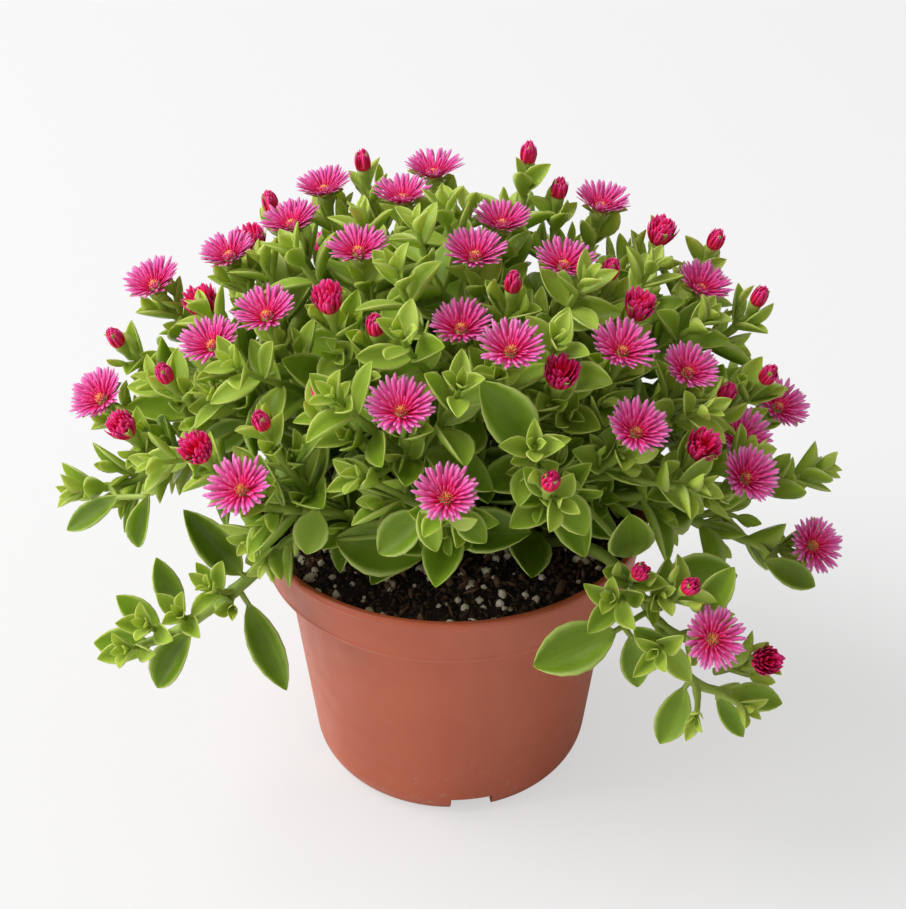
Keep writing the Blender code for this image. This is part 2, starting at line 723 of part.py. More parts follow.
def main():
    """Build the potted ice plant."""
    clear_scene()
    parts = new_collection("potted_ice_plant")
    helpers = new_collection("cutters", helper=True)
    pot = make_pot(parts, helpers)
    soil = make_soil(parts)
    bpy.context.view_layer.update()
    plant = plan_plant([pot, soil])
    green = new_material("leaf_green")
    for shoot in plant.stems:
        make_shoot(shoot, plant, parts, helpers, green)
    make_flowers(plant, parts, new_material("petal_magenta"))


main()
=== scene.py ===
# %% [markdown]
# # A flowering ice plant in its nursery pot
# Ice plants are trailing succulents: thick green stems, fleshy heart-shaped leaves in opposite pairs, and
# flowers with dozens of narrow silky petals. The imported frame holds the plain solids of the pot, the soil,
# the shoots and the flower heads. This lesson grows the fine plant in the same places.

# %% Open the frame
import math
import random
from dataclasses import dataclass, replace
from itertools import product

import bmesh
import bpy
import numpy as np
from mathutils import Matrix, Quaternion, Vector
from mathutils.bvhtree import BVHTree


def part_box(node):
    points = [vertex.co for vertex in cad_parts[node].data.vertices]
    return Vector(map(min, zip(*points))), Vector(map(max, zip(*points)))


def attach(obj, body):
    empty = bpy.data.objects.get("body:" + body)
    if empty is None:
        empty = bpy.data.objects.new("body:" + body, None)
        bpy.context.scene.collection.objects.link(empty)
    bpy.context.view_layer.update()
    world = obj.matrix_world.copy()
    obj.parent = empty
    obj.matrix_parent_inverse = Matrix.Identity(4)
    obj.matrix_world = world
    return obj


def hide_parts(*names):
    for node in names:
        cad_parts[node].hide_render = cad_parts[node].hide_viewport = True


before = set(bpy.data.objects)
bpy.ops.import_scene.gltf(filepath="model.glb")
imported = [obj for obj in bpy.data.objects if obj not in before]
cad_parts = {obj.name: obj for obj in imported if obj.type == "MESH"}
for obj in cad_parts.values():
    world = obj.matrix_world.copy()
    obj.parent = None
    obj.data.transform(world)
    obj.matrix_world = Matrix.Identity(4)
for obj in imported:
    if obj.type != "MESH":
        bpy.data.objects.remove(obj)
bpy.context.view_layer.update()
MM = 0.001
UP = Vector((0.0, 0.0, 1.0))
POT_LOW, POT_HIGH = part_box("pot")
print("frame:", len(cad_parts), "nodes, pot", [round(side / MM, 1) for side in POT_HIGH - POT_LOW], "mm")

# %% [markdown]
# ## A short hand for node trees
# Materials and Geometry Nodes are both trees of nodes. One small class adds a node, sets or links its
# inputs, and gives back an output, so that a tree reads from top to bottom like a recipe.


# %% Node tree helper
class Recipe:
    """Adds nodes to a tree, with their inputs set to values or linked to other nodes' outputs."""

    def __init__(self, tree):
        self.tree = tree

    def add(self, kind, *inputs, give=0, named=None, **settings):
        node = self.tree.nodes.new(kind)
        for name, value in settings.items():
            setattr(node, name, value)
        for key, value in [*enumerate(inputs), *(named or {}).items()]:
            self.feed(node, key, value)
        return node.outputs[give]

    def feed(self, node, key, value):
        if isinstance(value, bpy.types.NodeSocket):
            self.tree.links.new(value, node.inputs[key])
        elif value is not None:
            node.inputs[key].default_value = value

    def math(self, operation, *inputs):
        return self.add("ShaderNodeMath", *inputs, operation=operation)

    def times(self, first, *factors):
        """The product of two or more values."""
        for factor in factors:
            first = self.math("MULTIPLY", first, factor)
        return first

    def centred(self, value, amount):
        """A value from 0 to 1, moved to lie round 0 and then scaled."""
        return self.times(self.math("SUBTRACT", value, 0.5), amount)

    def chance(self, low, high, seed):
        """A random value for each point."""
        return self.add("FunctionNodeRandomValue", data_type="FLOAT", give=1,
                        named={2: low, 3: high, "Seed": seed})

    def store(self, geometry, name, value, kind="FLOAT"):
        """Keep a value on every point, under a name."""
        return self.add("GeometryNodeStoreNamedAttribute", geometry, named={"Name": name, "Value": value},
                        data_type=kind, domain="POINT")

    def vector(self, operation, *inputs):
        return self.add("ShaderNodeVectorMath", *inputs, operation=operation)

    def scaled(self, vector, factor):
        return self.add("ShaderNodeVectorMath", vector, named={"Scale": factor}, operation="SCALE")


print("node tree helper ready")


# %% Start and end a tree
def new_tree(name, sockets):
    """A Geometry Nodes tree with named inputs. It gives back the recipe and the outputs of its input node."""
    tree = bpy.data.node_groups.new(name, "GeometryNodeTree")
    tree.interface.new_socket("Geometry", in_out="OUTPUT", socket_type="NodeSocketGeometry")
    tree.interface.new_socket("Geometry", in_out="INPUT", socket_type="NodeSocketGeometry")
    for label, kind in sockets:
        tree.interface.new_socket(label, in_out="INPUT", socket_type=f"NodeSocket{kind}")
    inputs = tree.nodes.new("NodeGroupInput").outputs
    return Recipe(tree), inputs


def finish_tree(recipe, geometry, material):
    """End a tree in Realize Instances and Set Material."""
    real = recipe.add("GeometryNodeRealizeInstances", geometry)
    smooth = recipe.add("GeometryNodeSetShadeSmooth", real)
    painted = recipe.add("GeometryNodeSetMaterial", smooth, named={"Material": material})
    output = recipe.tree.nodes.new("NodeGroupOutput")
    recipe.tree.links.new(painted, output.inputs[0])
    return recipe.tree


print("trees end in Realize Instances and Set Material")


# %% Meshes and objects
def mesh_from(bm, name):
    """Turn a bmesh into a plain mesh, and free it."""
    mesh = bpy.data.meshes.new(name)
    bm.to_mesh(mesh)
    bm.free()
    return mesh


def linked(name, data):
    """A new object in the scene."""
    made = bpy.data.objects.new(name, data)
    bpy.context.scene.collection.objects.link(made)
    return made


def grow(name, mesh, tree, settings):
    """Run a tree on a mesh, keep the result as a plain mesh, and take the modifier off."""
    made = linked(name, mesh)
    modifier = made.modifiers.new("grow", "NODES")
    modifier.node_group = tree
    for item in tree.interface.items_tree:
        if item.in_out == "INPUT" and item.name in settings:
            modifier[item.identifier] = settings[item.name]
    graph = bpy.context.evaluated_depsgraph_get()
    grown = made.evaluated_get(graph)
    result = bpy.data.meshes.new_from_object(grown, preserve_all_data_layers=True, depsgraph=graph)
    made.modifiers.remove(modifier)
    made.data = result
    result.name = name
    return made


def points_mesh(name, points, columns, edges=()):
    """A mesh of loose points or lines, with one named attribute for each column of values."""
    mesh = bpy.data.meshes.new(name)
    mesh.from_pydata([tuple(point) for point in points], list(edges), [])
    for label, values in columns.items():
        vector = isinstance(values[0], Vector)
        made = mesh.attributes.new(label, "FLOAT_VECTOR" if vector else "FLOAT", "POINT")
        flat = [part for value in values for part in value] if vector else values
        made.data.foreach_set("vector" if vector else "value", flat)
    return mesh


print("mesh helpers ready")

# %% [markdown]
# ## Finishes
# Every finish is a small tree of procedural nodes: a colour that varies, a bump at the real grain's size
# and a roughness that breaks up. Leaves and petals read attributes that say how far along and across the
# blade a point is, so that a pale margin or a dark foot follows the shape of each one.


# %% Helpers for finishes
def new_finish(name, roughness, **constants):
    """A Principled material. Constants go straight on the shader's own sockets."""
    made = bpy.data.materials.new(name)
    made.use_nodes = True
    recipe = Recipe(made.node_tree)
    shader = made.node_tree.nodes["Principled BSDF"]
    shader.inputs["Roughness"].default_value = roughness
    for label, value in constants.items():
        shader.inputs[label.replace("_", " ").title().replace("Ior", "IOR")].default_value = value
    return made, recipe, shader


def noise(recipe, scale, detail=3.0, where=None, roughness=0.55):
    """Soft noise in the object's own coordinates, in metres."""
    if where is None:
        where = recipe.add("ShaderNodeTexCoord", give="Object")
    return recipe.add("ShaderNodeTexNoise", named={"Vector": where, "Scale": scale, "Detail": detail,
                                                   "Roughness": roughness})


def spread(recipe, value, low, high, new_low=0.0, new_high=1.0, smooth=False):
    """Move a value from one range to another, clamped."""
    return recipe.add("ShaderNodeMapRange", value, low, high, new_low, new_high,
                      interpolation_type="SMOOTHSTEP" if smooth else "LINEAR")


def blend(recipe, factor, first, second, kind="MIX"):
    """Mix two colours."""
    node = recipe.tree.nodes.new("ShaderNodeMix")
    node.data_type = "RGBA"
    node.blend_type = kind
    for key, value in ((0, factor), (6, first), (7, second)):
        recipe.feed(node, key, value)
    return node.outputs[2]


def ramp(recipe, value, stops):
    """A colour ramp from (place, colour) stops."""
    node = recipe.tree.nodes.new("ShaderNodeValToRGB")
    recipe.feed(node, 0, value)
    elements = node.color_ramp.elements
    while len(elements) < len(stops):
        elements.new(0.5)
    for element, (place, colour) in zip(elements, stops):
        element.position = place
        element.color = (*colour, 1.0)
    return node.outputs[0]


def bump(recipe, height, strength, depth):
    """A bump map from a height, with its real depth in metres."""
    return recipe.add("ShaderNodeBump", named={"Height": height, "Strength": strength, "Distance": depth})


def attribute(recipe, name):
    """The value of a named attribute on the piece's own mesh."""
    return recipe.add("ShaderNodeAttribute", attribute_name=name, give="Fac")


print("finish helpers ready")

# %% [markdown]
# ## Leaf and stem tissue
# A leaf is full of water, so light goes in and comes out again: some subsurface scattering. Young leaves
# are yellow-green and old ones dark. The margin is a thin pale line, the midrib a faint lighter groove,
# and the skin has tiny glistening bladder cells, which a fine Voronoi bump stands for.

# %% Leaf finish
YOUNG_GREEN = (0.43, 0.55, 0.085)
FULL_GREEN = (0.22, 0.35, 0.021)
OLD_GREEN = (0.075, 0.13, 0.006)
MARGIN_GREEN = (0.54, 0.61, 0.19)


def leaf_finish():
    """Fleshy leaf skin that follows each blade's age, margin and midrib."""
    made, recipe, shader = new_finish("leaf skin", 0.42, subsurface_weight=0.25, subsurface_scale=0.0025,
                                      subsurface_radius=(0.8, 1.0, 0.2), specular_ior_level=0.25)
    across = recipe.math("ABSOLUTE", attribute(recipe, "across"))
    along = attribute(recipe, "along")
    tint = attribute(recipe, "tint")
    mottle = noise(recipe, 160.0, 4.0)
    age = recipe.math("ADD", attribute(recipe, "age"), recipe.centred(tint, 0.22))
    age = recipe.math("ADD", age, recipe.centred(mottle, 0.25))
    age = recipe.math("SUBTRACT", age, recipe.times(recipe.math("POWER", across, 3.0), 0.12))
    colour = ramp(recipe, age, [(0.0, YOUNG_GREEN), (0.46, FULL_GREEN), (0.92, OLD_GREEN)])
    foot = spread(recipe, along, 0.0, 0.30, 0.6, 0.0)
    colour = blend(recipe, foot, colour, (*YOUNG_GREEN, 1.0))
    rib = spread(recipe, across, 0.0, 0.08, 0.07, 0.0, smooth=True)
    colour = blend(recipe, rib, colour, (*MARGIN_GREEN, 1.0))
    edge = spread(recipe, across, 0.70, 0.97, 0.0, 0.62, smooth=True)
    colour = blend(recipe, edge, colour, (*MARGIN_GREEN, 1.0))
    where = recipe.add("ShaderNodeTexCoord", give="Object")
    cells = recipe.add("ShaderNodeTexVoronoi", named={"Vector": where, "Scale": 2600.0}, give="Distance")
    skin = recipe.math("ADD", recipe.times(cells, -0.5), noise(recipe, 420.0, 3.0))
    recipe.feed(shader, "Base Color", colour)
    recipe.feed(shader, "Roughness", spread(recipe, noise(recipe, 500.0), 0.3, 0.7, 0.28, 0.46))
    recipe.feed(shader, "Normal", bump(recipe, skin, 0.35, 0.0002))
    return made


LEAF = leaf_finish()
print("leaf finish made")

# %% Stem finish
STEM_STOPS = [(0.0, (0.36, 0.47, 0.08)), (0.45, (0.24, 0.34, 0.04)), (0.85, (0.12, 0.17, 0.025)),
              (1.0, (0.10, 0.08, 0.035))]


def stem_finish():
    """Green stem skin, browner where it leaves the soil, with a fine mottle."""
    made, recipe, shader = new_finish("stem skin", 0.45, specular_ior_level=0.4)
    age = recipe.math("ADD", attribute(recipe, "age"), recipe.centred(noise(recipe, 120.0, 4.0), 0.5))
    colour = ramp(recipe, age, STEM_STOPS)
    recipe.feed(shader, "Base Color", colour)
    recipe.feed(shader, "Roughness", spread(recipe, noise(recipe, 400.0), 0.3, 0.7, 0.38, 0.6))
    recipe.feed(shader, "Normal", bump(recipe, noise(recipe, 900.0, 2.0), 0.3, 0.0002))
    return made


STEM = stem_finish()
print("stem finish made")

# %% [markdown]
# ## Petals and stamens
# A petal is a narrow silky ribbon, crimson at its foot and paler pink at its tip, with fine lengthwise
# streaks. The stamens are a tight orange-yellow brush.

# %% Petal finish
PETAL_STOPS = [(0.0, (0.98, 0.015, 0.06)), (0.3, (1.0, 0.022, 0.19)), (0.65, (1.0, 0.085, 0.42)),
               (1.0, (1.0, 0.27, 0.67))]
PETAL_STREAK = (1.0, 0.03, 0.28)


def petal_finish():
    """Silky petal skin, from a crimson foot to a pale pink tip. Inner petals are crimson for longer."""
    made, recipe, shader = new_finish("petal silk", 0.5, subsurface_weight=0.3, subsurface_scale=0.003,
                                      subsurface_radius=(1.0, 0.35, 0.6), specular_ior_level=0.12)
    along = attribute(recipe, "along")
    tint = attribute(recipe, "tint")
    place = recipe.math("SUBTRACT", along, recipe.times(attribute(recipe, "inner"), 0.38))
    place = recipe.math("ADD", place, recipe.centred(tint, 0.12))
    colour = ramp(recipe, place, PETAL_STOPS)
    blade = recipe.add("ShaderNodeCombineXYZ", recipe.times(attribute(recipe, "across"), 3.0),
                       recipe.times(along, 0.8), recipe.times(tint, 40.0))
    streaks = noise(recipe, 2.4, where=blade, roughness=0.5)
    colour = blend(recipe, spread(recipe, streaks, 0.45, 0.75, 0.0, 0.16), colour, (*PETAL_STREAK, 1.0))
    recipe.feed(shader, "Base Color", colour)
    recipe.feed(shader, "Normal", bump(recipe, streaks, 0.4, 0.0002))
    return made


PETAL = petal_finish()
print("petal finish made")

# %% Stamen finish
STAMEN_STOPS = [(0.0, (1.0, 0.09, 0.06)), (0.45, (1.0, 0.28, 0.08)), (1.0, (1.0, 0.52, 0.18))]


def stamen_finish():
    """Orange-red filaments with paler pollen at their ends."""
    made, recipe, shader = new_finish("stamen", 0.6)
    grain = noise(recipe, 3000.0, 2.0)
    place = recipe.math("ADD", attribute(recipe, "along"), recipe.centred(grain, 0.3))
    colour = ramp(recipe, place, STAMEN_STOPS)
    recipe.feed(shader, "Base Color", colour)
    recipe.feed(shader, "Normal", bump(recipe, grain, 0.5, 0.0001))
    return made


STAMEN = stamen_finish()
print("stamen finish made")

# %% [markdown]
# ## Pot plastic and potting mix
# The pot is terracotta-coloured polypropylene: satin, slightly mottled, scuffed and dusty low down. The mix
# is nearly black peat with lighter fibres, brown bark, and cream grains of perlite that are pitted like foam.

# %% Pot finish
POT_RED = (0.48, 0.105, 0.043)
POT_DEEP = (0.41, 0.080, 0.032)
POT_FLOW = (0.56, 0.15, 0.075)
POT_DUST = (0.55, 0.36, 0.26)
POT_SCUFF = (0.66, 0.30, 0.20)
FLOW_STRETCH = (60.0, 60.0, 9.0)
SCRATCH_STRETCH = (90.0, 90.0, 700.0)
DUST_HEIGHT = 35.0 * MM


def pot_finish():
    """Moulded terracotta-coloured plastic with faint flow marks, scuffs and dust near the foot."""
    made, recipe, shader = new_finish("terracotta plastic", 0.42, specular_ior_level=0.45)
    where = recipe.add("ShaderNodeTexCoord", give="Object")
    height = recipe.add("ShaderNodeSeparateXYZ", where, give="Z")
    cloud = noise(recipe, 22.0, 5.0)
    colour = blend(recipe, spread(recipe, cloud, 0.35, 0.7, 0.0, 0.8), (*POT_RED, 1.0), (*POT_DEEP, 1.0))
    flow = noise(recipe, 1.0, 4.0, recipe.vector("MULTIPLY", where, FLOW_STRETCH), 0.5)
    colour = blend(recipe, spread(recipe, flow, 0.5, 0.75, 0.0, 0.22), colour, (*POT_FLOW, 1.0))
    low = spread(recipe, height, 0.0, DUST_HEIGHT, 0.5, 0.0, smooth=True)
    dust = recipe.times(spread(recipe, noise(recipe, 300.0, 6.0, roughness=0.7), 0.55, 0.75), low)
    colour = blend(recipe, dust, colour, (*POT_DUST, 1.0))
    scratch = noise(recipe, 1.0, 5.0, recipe.vector("MULTIPLY", where, SCRATCH_STRETCH), 0.7)
    scuff = spread(recipe, scratch, 0.68, 0.74)
    colour = blend(recipe, recipe.times(scuff, 0.22), colour, (*POT_SCUFF, 1.0))
    recipe.feed(shader, "Base Color", colour)
    rough = recipe.math("ADD", spread(recipe, noise(recipe, 150.0, 4.0), 0.3, 0.7, 0.36, 0.50),
                        recipe.times(recipe.math("MAXIMUM", dust, scuff), 0.2))
    recipe.feed(shader, "Roughness", rough)
    grain = recipe.math("ADD", noise(recipe, 1500.0, 2.0), scratch)
    recipe.feed(shader, "Normal", bump(recipe, grain, 0.12, 0.0002))
    return made


POT = pot_finish()
print("pot finish made")


# %% Peat, bark and perlite
def earth_finish(name, dark, light, scale, roughness, depth):
    """A crumbly finish between two colours, with a rough bump."""
    made, recipe, shader = new_finish(name, roughness, specular_ior_level=0.25)
    tone = recipe.math("ADD", noise(recipe, scale, 6.0, roughness=0.7),
                       recipe.centred(attribute(recipe, "tint"), 0.5))
    recipe.feed(shader, "Base Color", ramp(recipe, tone, [(0.3, dark), (0.75, light)]))
    recipe.feed(shader, "Normal", bump(recipe, noise(recipe, 3.0 * scale, 5.0), 0.8, depth))
    return made


PEAT = earth_finish("peat", (0.016, 0.010, 0.007), (0.095, 0.058, 0.037), 500.0, 0.92, 0.0008)
BARK = earth_finish("bark", (0.055, 0.026, 0.013), (0.21, 0.115, 0.062), 700.0, 0.85, 0.0004)
PERLITE = earth_finish("perlite", (0.56, 0.46, 0.33), (0.93, 0.85, 0.70), 900.0, 0.8, 0.0004)
print("potting mix finishes made")

# %% [markdown]
# ## The pot
# A nursery pot is injection-moulded: a thin conical shell with a thickened collar, a rolled lip and a low
# foot ring. A turned profile is the natural way to make it: each of its points becomes a ring of points round
# the axis. The corners are rounded on the profile, because a mould leaves no sharp edge.

# %% Pot dimensions, from the frame
POT_HEIGHT = POT_HIGH.z
RIM_RADIUS = POT_HIGH.x
WALL = 1.6 * MM
LIP_DROP = 2.2 * MM
COLLAR_HEIGHT = 17.0 * MM
COLLAR_FOOT_RADIUS = 56.5 * MM
BODY_TOP_RADIUS = 51.0 * MM
CORNER_RADIUS = 12.0 * MM
CORNER_CENTRE = (31.3 * MM, 8.9 * MM)
BODY_TAPER = 6.8
FLOOR_UNDERSIDE = 5.5 * MM
FLOOR_TOP = 7.2 * MM
FOOT_WIDTH = 1.9 * MM
TURN_STEPS = 128
print("pot:", round(2.0 * RIM_RADIUS / MM), "mm across and", round(POT_HEIGHT / MM), "mm high")


# %% Points and corners
def polar(radius, azimuth, height=0.0):
    """A point at a distance from the pot's axis, at an azimuth in degrees."""
    angle = math.radians(azimuth)
    return Vector((radius * math.cos(angle), radius * math.sin(angle), height))


def direction(azimuth, elevation):
    """A unit vector from an azimuth and an elevation in degrees."""
    rise = math.radians(elevation)
    return polar(math.cos(rise), azimuth, math.sin(rise))


def corner_arc(radius, first, last, steps):
    """Points of the rounded lower corner, between two angles below the horizontal."""
    across, up = CORNER_CENTRE
    angles = [-math.radians(first + (last - first) * step / steps) for step in range(steps + 1)]
    return [(across + radius * math.cos(angle), up + radius * math.sin(angle)) for angle in angles]


def angle_at(radius, height):
    """How far below the horizontal the corner's arc reaches a height, in degrees."""
    return math.degrees(math.asin((CORNER_CENTRE[1] - height) / radius))


def softened(points, radius, steps=4):
    """Round each corner of a profile with a short curve."""
    rounded = [points[0]]
    for before, corner, after in zip(points, points[1:], points[2:]):
        before, corner, after = Vector(before), Vector(corner), Vector(after)
        reach_in = min(radius, 0.45 * (before - corner).length)
        reach_out = min(radius, 0.45 * (after - corner).length)
        start = corner + (before - corner).normalized() * reach_in
        end = corner + (after - corner).normalized() * reach_out
        for step in range(steps + 1):
            share = step / steps
            rest = 1.0 - share
            rounded.append(tuple(start * rest * rest + corner * (2.0 * share * rest) + end * share * share))
    return rounded + [points[-1]]


print("the lower corner meets the surface", round(angle_at(CORNER_RADIUS, 0.0), 1), "degrees down")


# %% The pot's section
LIP_ROUNDING = 0.45 * MM
FOOT_ROUNDING = 0.2 * MM


def pot_profile():
    """The pot's section from the axis inside, up and over the rim, and down its outer side."""
    inner_corner = CORNER_RADIUS - WALL
    shelf = POT_HEIGHT - COLLAR_HEIGHT
    inside = corner_arc(inner_corner, angle_at(inner_corner, FLOOR_TOP), BODY_TAPER, 2)
    upper = [
        (BODY_TOP_RADIUS - WALL, shelf + WALL),
        (COLLAR_FOOT_RADIUS - WALL, shelf + WALL),
        (RIM_RADIUS - 1.4 * WALL, POT_HEIGHT - 0.4 * WALL),
        (RIM_RADIUS - 1.1 * WALL, POT_HEIGHT),
        (RIM_RADIUS - 0.25 * WALL, POT_HEIGHT),
        (RIM_RADIUS, POT_HEIGHT - 0.4 * WALL),
        (RIM_RADIUS, POT_HEIGHT - LIP_DROP),
        (RIM_RADIUS - 0.45 * WALL, POT_HEIGHT - LIP_DROP - 0.4 * WALL),
        (COLLAR_FOOT_RADIUS + 0.25 * WALL, shelf + 1.3 * WALL),
        (COLLAR_FOOT_RADIUS + 0.32 * WALL, shelf + 0.9 * WALL),
        (COLLAR_FOOT_RADIUS, shelf),
        (BODY_TOP_RADIUS, shelf),
    ]
    outer_corner = corner_arc(CORNER_RADIUS, BODY_TAPER, angle_at(CORNER_RADIUS, 0.0), 12)
    foot_radius = outer_corner[-1][0]
    foot = [
        (foot_radius - FOOT_WIDTH, 0.0),
        (foot_radius - FOOT_WIDTH - 0.2 * WALL, FLOOR_UNDERSIDE),
        (0.0, FLOOR_UNDERSIDE),
    ]
    body = softened([inside[-1], *upper, outer_corner[0]], LIP_ROUNDING)
    ring = softened([outer_corner[-1], *foot], FOOT_ROUNDING)
    return [(0.0, FLOOR_TOP)] + inside + body[1:-1] + outer_corner + ring[1:]


print("pot profile:", len(pot_profile()), "points")


# %% Turn a profile, and make a piece of a mesh
def closed_mesh(name, points, rings, count):
    """A closed surface: a pole, some rings that all have the same count of points, and another pole."""
    faces = []
    for row in range(rings - 1):
        for index in range(count):
            first, second = 1 + row * count + index, 1 + row * count + (index + 1) % count
            faces.append((first, second, second + count, first + count))
    last = 1 + rings * count
    for index in range(count):
        after = (index + 1) % count
        faces.append((0, 1 + after, 1 + index))
        faces.append((last, last - count + index, last - count + after))
    mesh = bpy.data.meshes.new(name)
    mesh.from_pydata(points, [], faces)
    bm = bmesh.new()
    bm.from_mesh(mesh)
    bmesh.ops.recalc_face_normals(bm, faces=bm.faces)
    bm.to_mesh(mesh)
    bm.free()
    mesh.shade_smooth()
    return mesh


def turned_mesh(name, profile, steps):
    """Turn a profile about Z. It starts and ends on the axis, so both of its ends are poles."""
    turns = [math.tau * step / steps for step in range(steps)]
    points = [(0.0, 0.0, profile[0][1])]
    for radius, height in profile[1:-1]:
        points += [(radius * math.cos(turn), radius * math.sin(turn), height) for turn in turns]
    points.append((0.0, 0.0, profile[-1][1]))
    return closed_mesh(name, points, len(profile) - 2, steps)


def settle(piece):
    """Make a piece ride on the plant's one body."""
    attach(piece, "root")
    return piece


def new_piece(name, mesh, finish):
    """Link a finished mesh as a piece."""
    made = linked(name, mesh)
    mesh.materials.clear()
    mesh.materials.append(finish)
    return settle(made)


print("turning helpers ready")

# %% [markdown]
# ## Notches and drain holes
# Water leaves a pot through notches in its foot ring and holes in its floor. Their edges cross the turned
# faces, so Boolean modifiers cut them with plain blocks and cylinders, and the result is a plain mesh.

# %% Cut the notches and holes, and finish the pot
NOTCH_AZIMUTHS = [-81.0, 9.0, 99.0, 189.0]
NOTCH_SIZE = (12.0 * MM, 13.0 * MM, 12.8 * MM)
NOTCH_REACH = CORNER_CENTRE[0] + 7.5 * MM
DRAIN_AZIMUTHS = [20.0 + 60.0 * number for number in range(6)]
DRAIN_RADIUS = 3.5 * MM
DRAIN_CIRCLE = 26.0 * MM
DRAIN_DEPTH = 10.0 * MM
SHARP_ANGLE = 50.0


def notch(bm):
    bmesh.ops.create_cube(bm, size=1.0)
    bmesh.ops.scale(bm, vec=NOTCH_SIZE, verts=bm.verts)


def drain_hole(bm):
    bmesh.ops.create_cone(bm, cap_ends=True, segments=32, radius1=DRAIN_RADIUS, radius2=DRAIN_RADIUS,
                          depth=DRAIN_DEPTH)


def cutter(shape, place, azimuth):
    """A helper object that a Boolean cuts with."""
    bm = bmesh.new()
    shape(bm)
    mesh = mesh_from(bm, "cutter")
    mesh.transform(Matrix.Translation(place) @ Matrix.Rotation(math.radians(azimuth), 4, "Z"))
    return linked("cutter", mesh)


def make_pot():
    """The turned shell, with its notches and holes cut and the modifiers applied."""
    shell = linked("pot_shell", turned_mesh("pot_shell", pot_profile(), TURN_STEPS))
    cutters = [cutter(notch, polar(NOTCH_REACH, azimuth), azimuth) for azimuth in NOTCH_AZIMUTHS]
    middle = 0.5 * (FLOOR_TOP + FLOOR_UNDERSIDE)
    cutters += [cutter(drain_hole, polar(DRAIN_CIRCLE, azimuth, middle), 0.0) for azimuth in DRAIN_AZIMUTHS]
    for tool in cutters:
        cut = shell.modifiers.new("cut", "BOOLEAN")
        cut.operation = "DIFFERENCE"
        cut.object = tool
    graph = bpy.context.evaluated_depsgraph_get()
    result = bpy.data.meshes.new_from_object(shell.evaluated_get(graph))
    for helper in [shell, *cutters]:
        bpy.data.objects.remove(helper)
    result.shade_smooth()
    result.set_sharp_from_angle(angle=math.radians(SHARP_ANGLE))
    piece = new_piece("pot_shell", result, POT)
    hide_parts("pot")
    return piece


pot_piece = make_pot()
print("pot:", len(pot_piece.data.polygons), "faces")

# %% [markdown]
# ## The bed of potting mix
# The soil is a low mound a few millimetres below the rim. It is a turned plug that fills the pot, and its top
# is a fine grid of rings that two sizes of waves make crumbly.

# %% Soil surface
SOIL_EDGE_Z = 82.5 * MM
SOIL_CROWN_RISE = 6.0 * MM
SOIL_RIPPLE = 0.25 * MM
SOIL_GAP = 0.3 * MM
SOIL_RINGS = 56
SOIL_STEPS = 160


def soil_edge_radius():
    """The collar's inside at the height of the soil's edge, less a small gap."""
    shelf = POT_HEIGHT - COLLAR_HEIGHT + WALL
    share = (SOIL_EDGE_Z - shelf) / (POT_HEIGHT - shelf)
    return (COLLAR_FOOT_RADIUS - WALL + share * (RIM_RADIUS - 1.4 * WALL - COLLAR_FOOT_RADIUS + WALL)
            - 1.2 * SOIL_GAP)


def soil_height(radius, azimuth):
    """The soil's surface: a low mound with slight ripples that fade towards the axis and the edge."""
    share = min(radius / soil_edge_radius(), 1.0)
    angle = math.radians(azimuth)
    ripple = math.sin(5.0 * angle + 9.0 * share) + math.sin(3.0 * angle - 14.0 * share + 1.0)
    mound = SOIL_CROWN_RISE * (1.0 - share * share)
    return SOIL_EDGE_Z + mound + SOIL_RIPPLE * ripple * share * (1.0 - share) * 4.0


def crumbled(x, y):
    """How far loose peat stands above or below its even surface, in mm: coarse lumps and fine ones."""
    coarse = math.sin(430.0 * x + 2.0 * math.sin(510.0 * y)) * math.sin(470.0 * y + 1.7 * math.sin(390.0 * x))
    fine = math.sin(1900.0 * x + 3.0 * math.sin(1700.0 * y)) * math.sin(2100.0 * y)
    return 0.55 * coarse + 0.3 * fine - 0.5


def make_soil():
    """A turned plug with a crumbly top."""
    edge = soil_edge_radius()
    inner_corner = CORNER_RADIUS - WALL - 1.2 * SOIL_GAP
    shelf = POT_HEIGHT - COLLAR_HEIGHT + WALL + SOIL_GAP
    profile = [(edge * ring / SOIL_RINGS, SOIL_EDGE_Z) for ring in range(SOIL_RINGS + 1)]
    profile += [(COLLAR_FOOT_RADIUS - WALL - 1.5 * SOIL_GAP, shelf),
                (BODY_TOP_RADIUS - WALL - 1.5 * SOIL_GAP, shelf)]
    profile += corner_arc(inner_corner, BODY_TAPER, angle_at(inner_corner, FLOOR_TOP + SOIL_GAP), 1)
    mesh = turned_mesh("soil_bed", profile + [(0.0, FLOOR_TOP + SOIL_GAP)], SOIL_STEPS)
    top = [vert for vert in mesh.vertices if vert.co.z > SOIL_EDGE_Z - 0.1 * MM]
    for vert in top:
        x, y = vert.co.xy
        height = soil_height(vert.co.xy.length, math.degrees(math.atan2(y, x)))
        vert.co.z = height + crumbled(x, y) * MM
    piece = new_piece("soil_bed", mesh, PEAT)
    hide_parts("soil")
    return piece


soil_piece = make_soil()
print("soil bed:", len(soil_piece.data.polygons), "faces")

# %% [markdown]
# ## Crumbs, bark and perlite
# Loose grains lie on the mound. Each kind has a few rough grains of twenty faces, low balls whose points
# are pushed in and out. Geometry Nodes spread points over the top, and set a turned and sized grain on each.


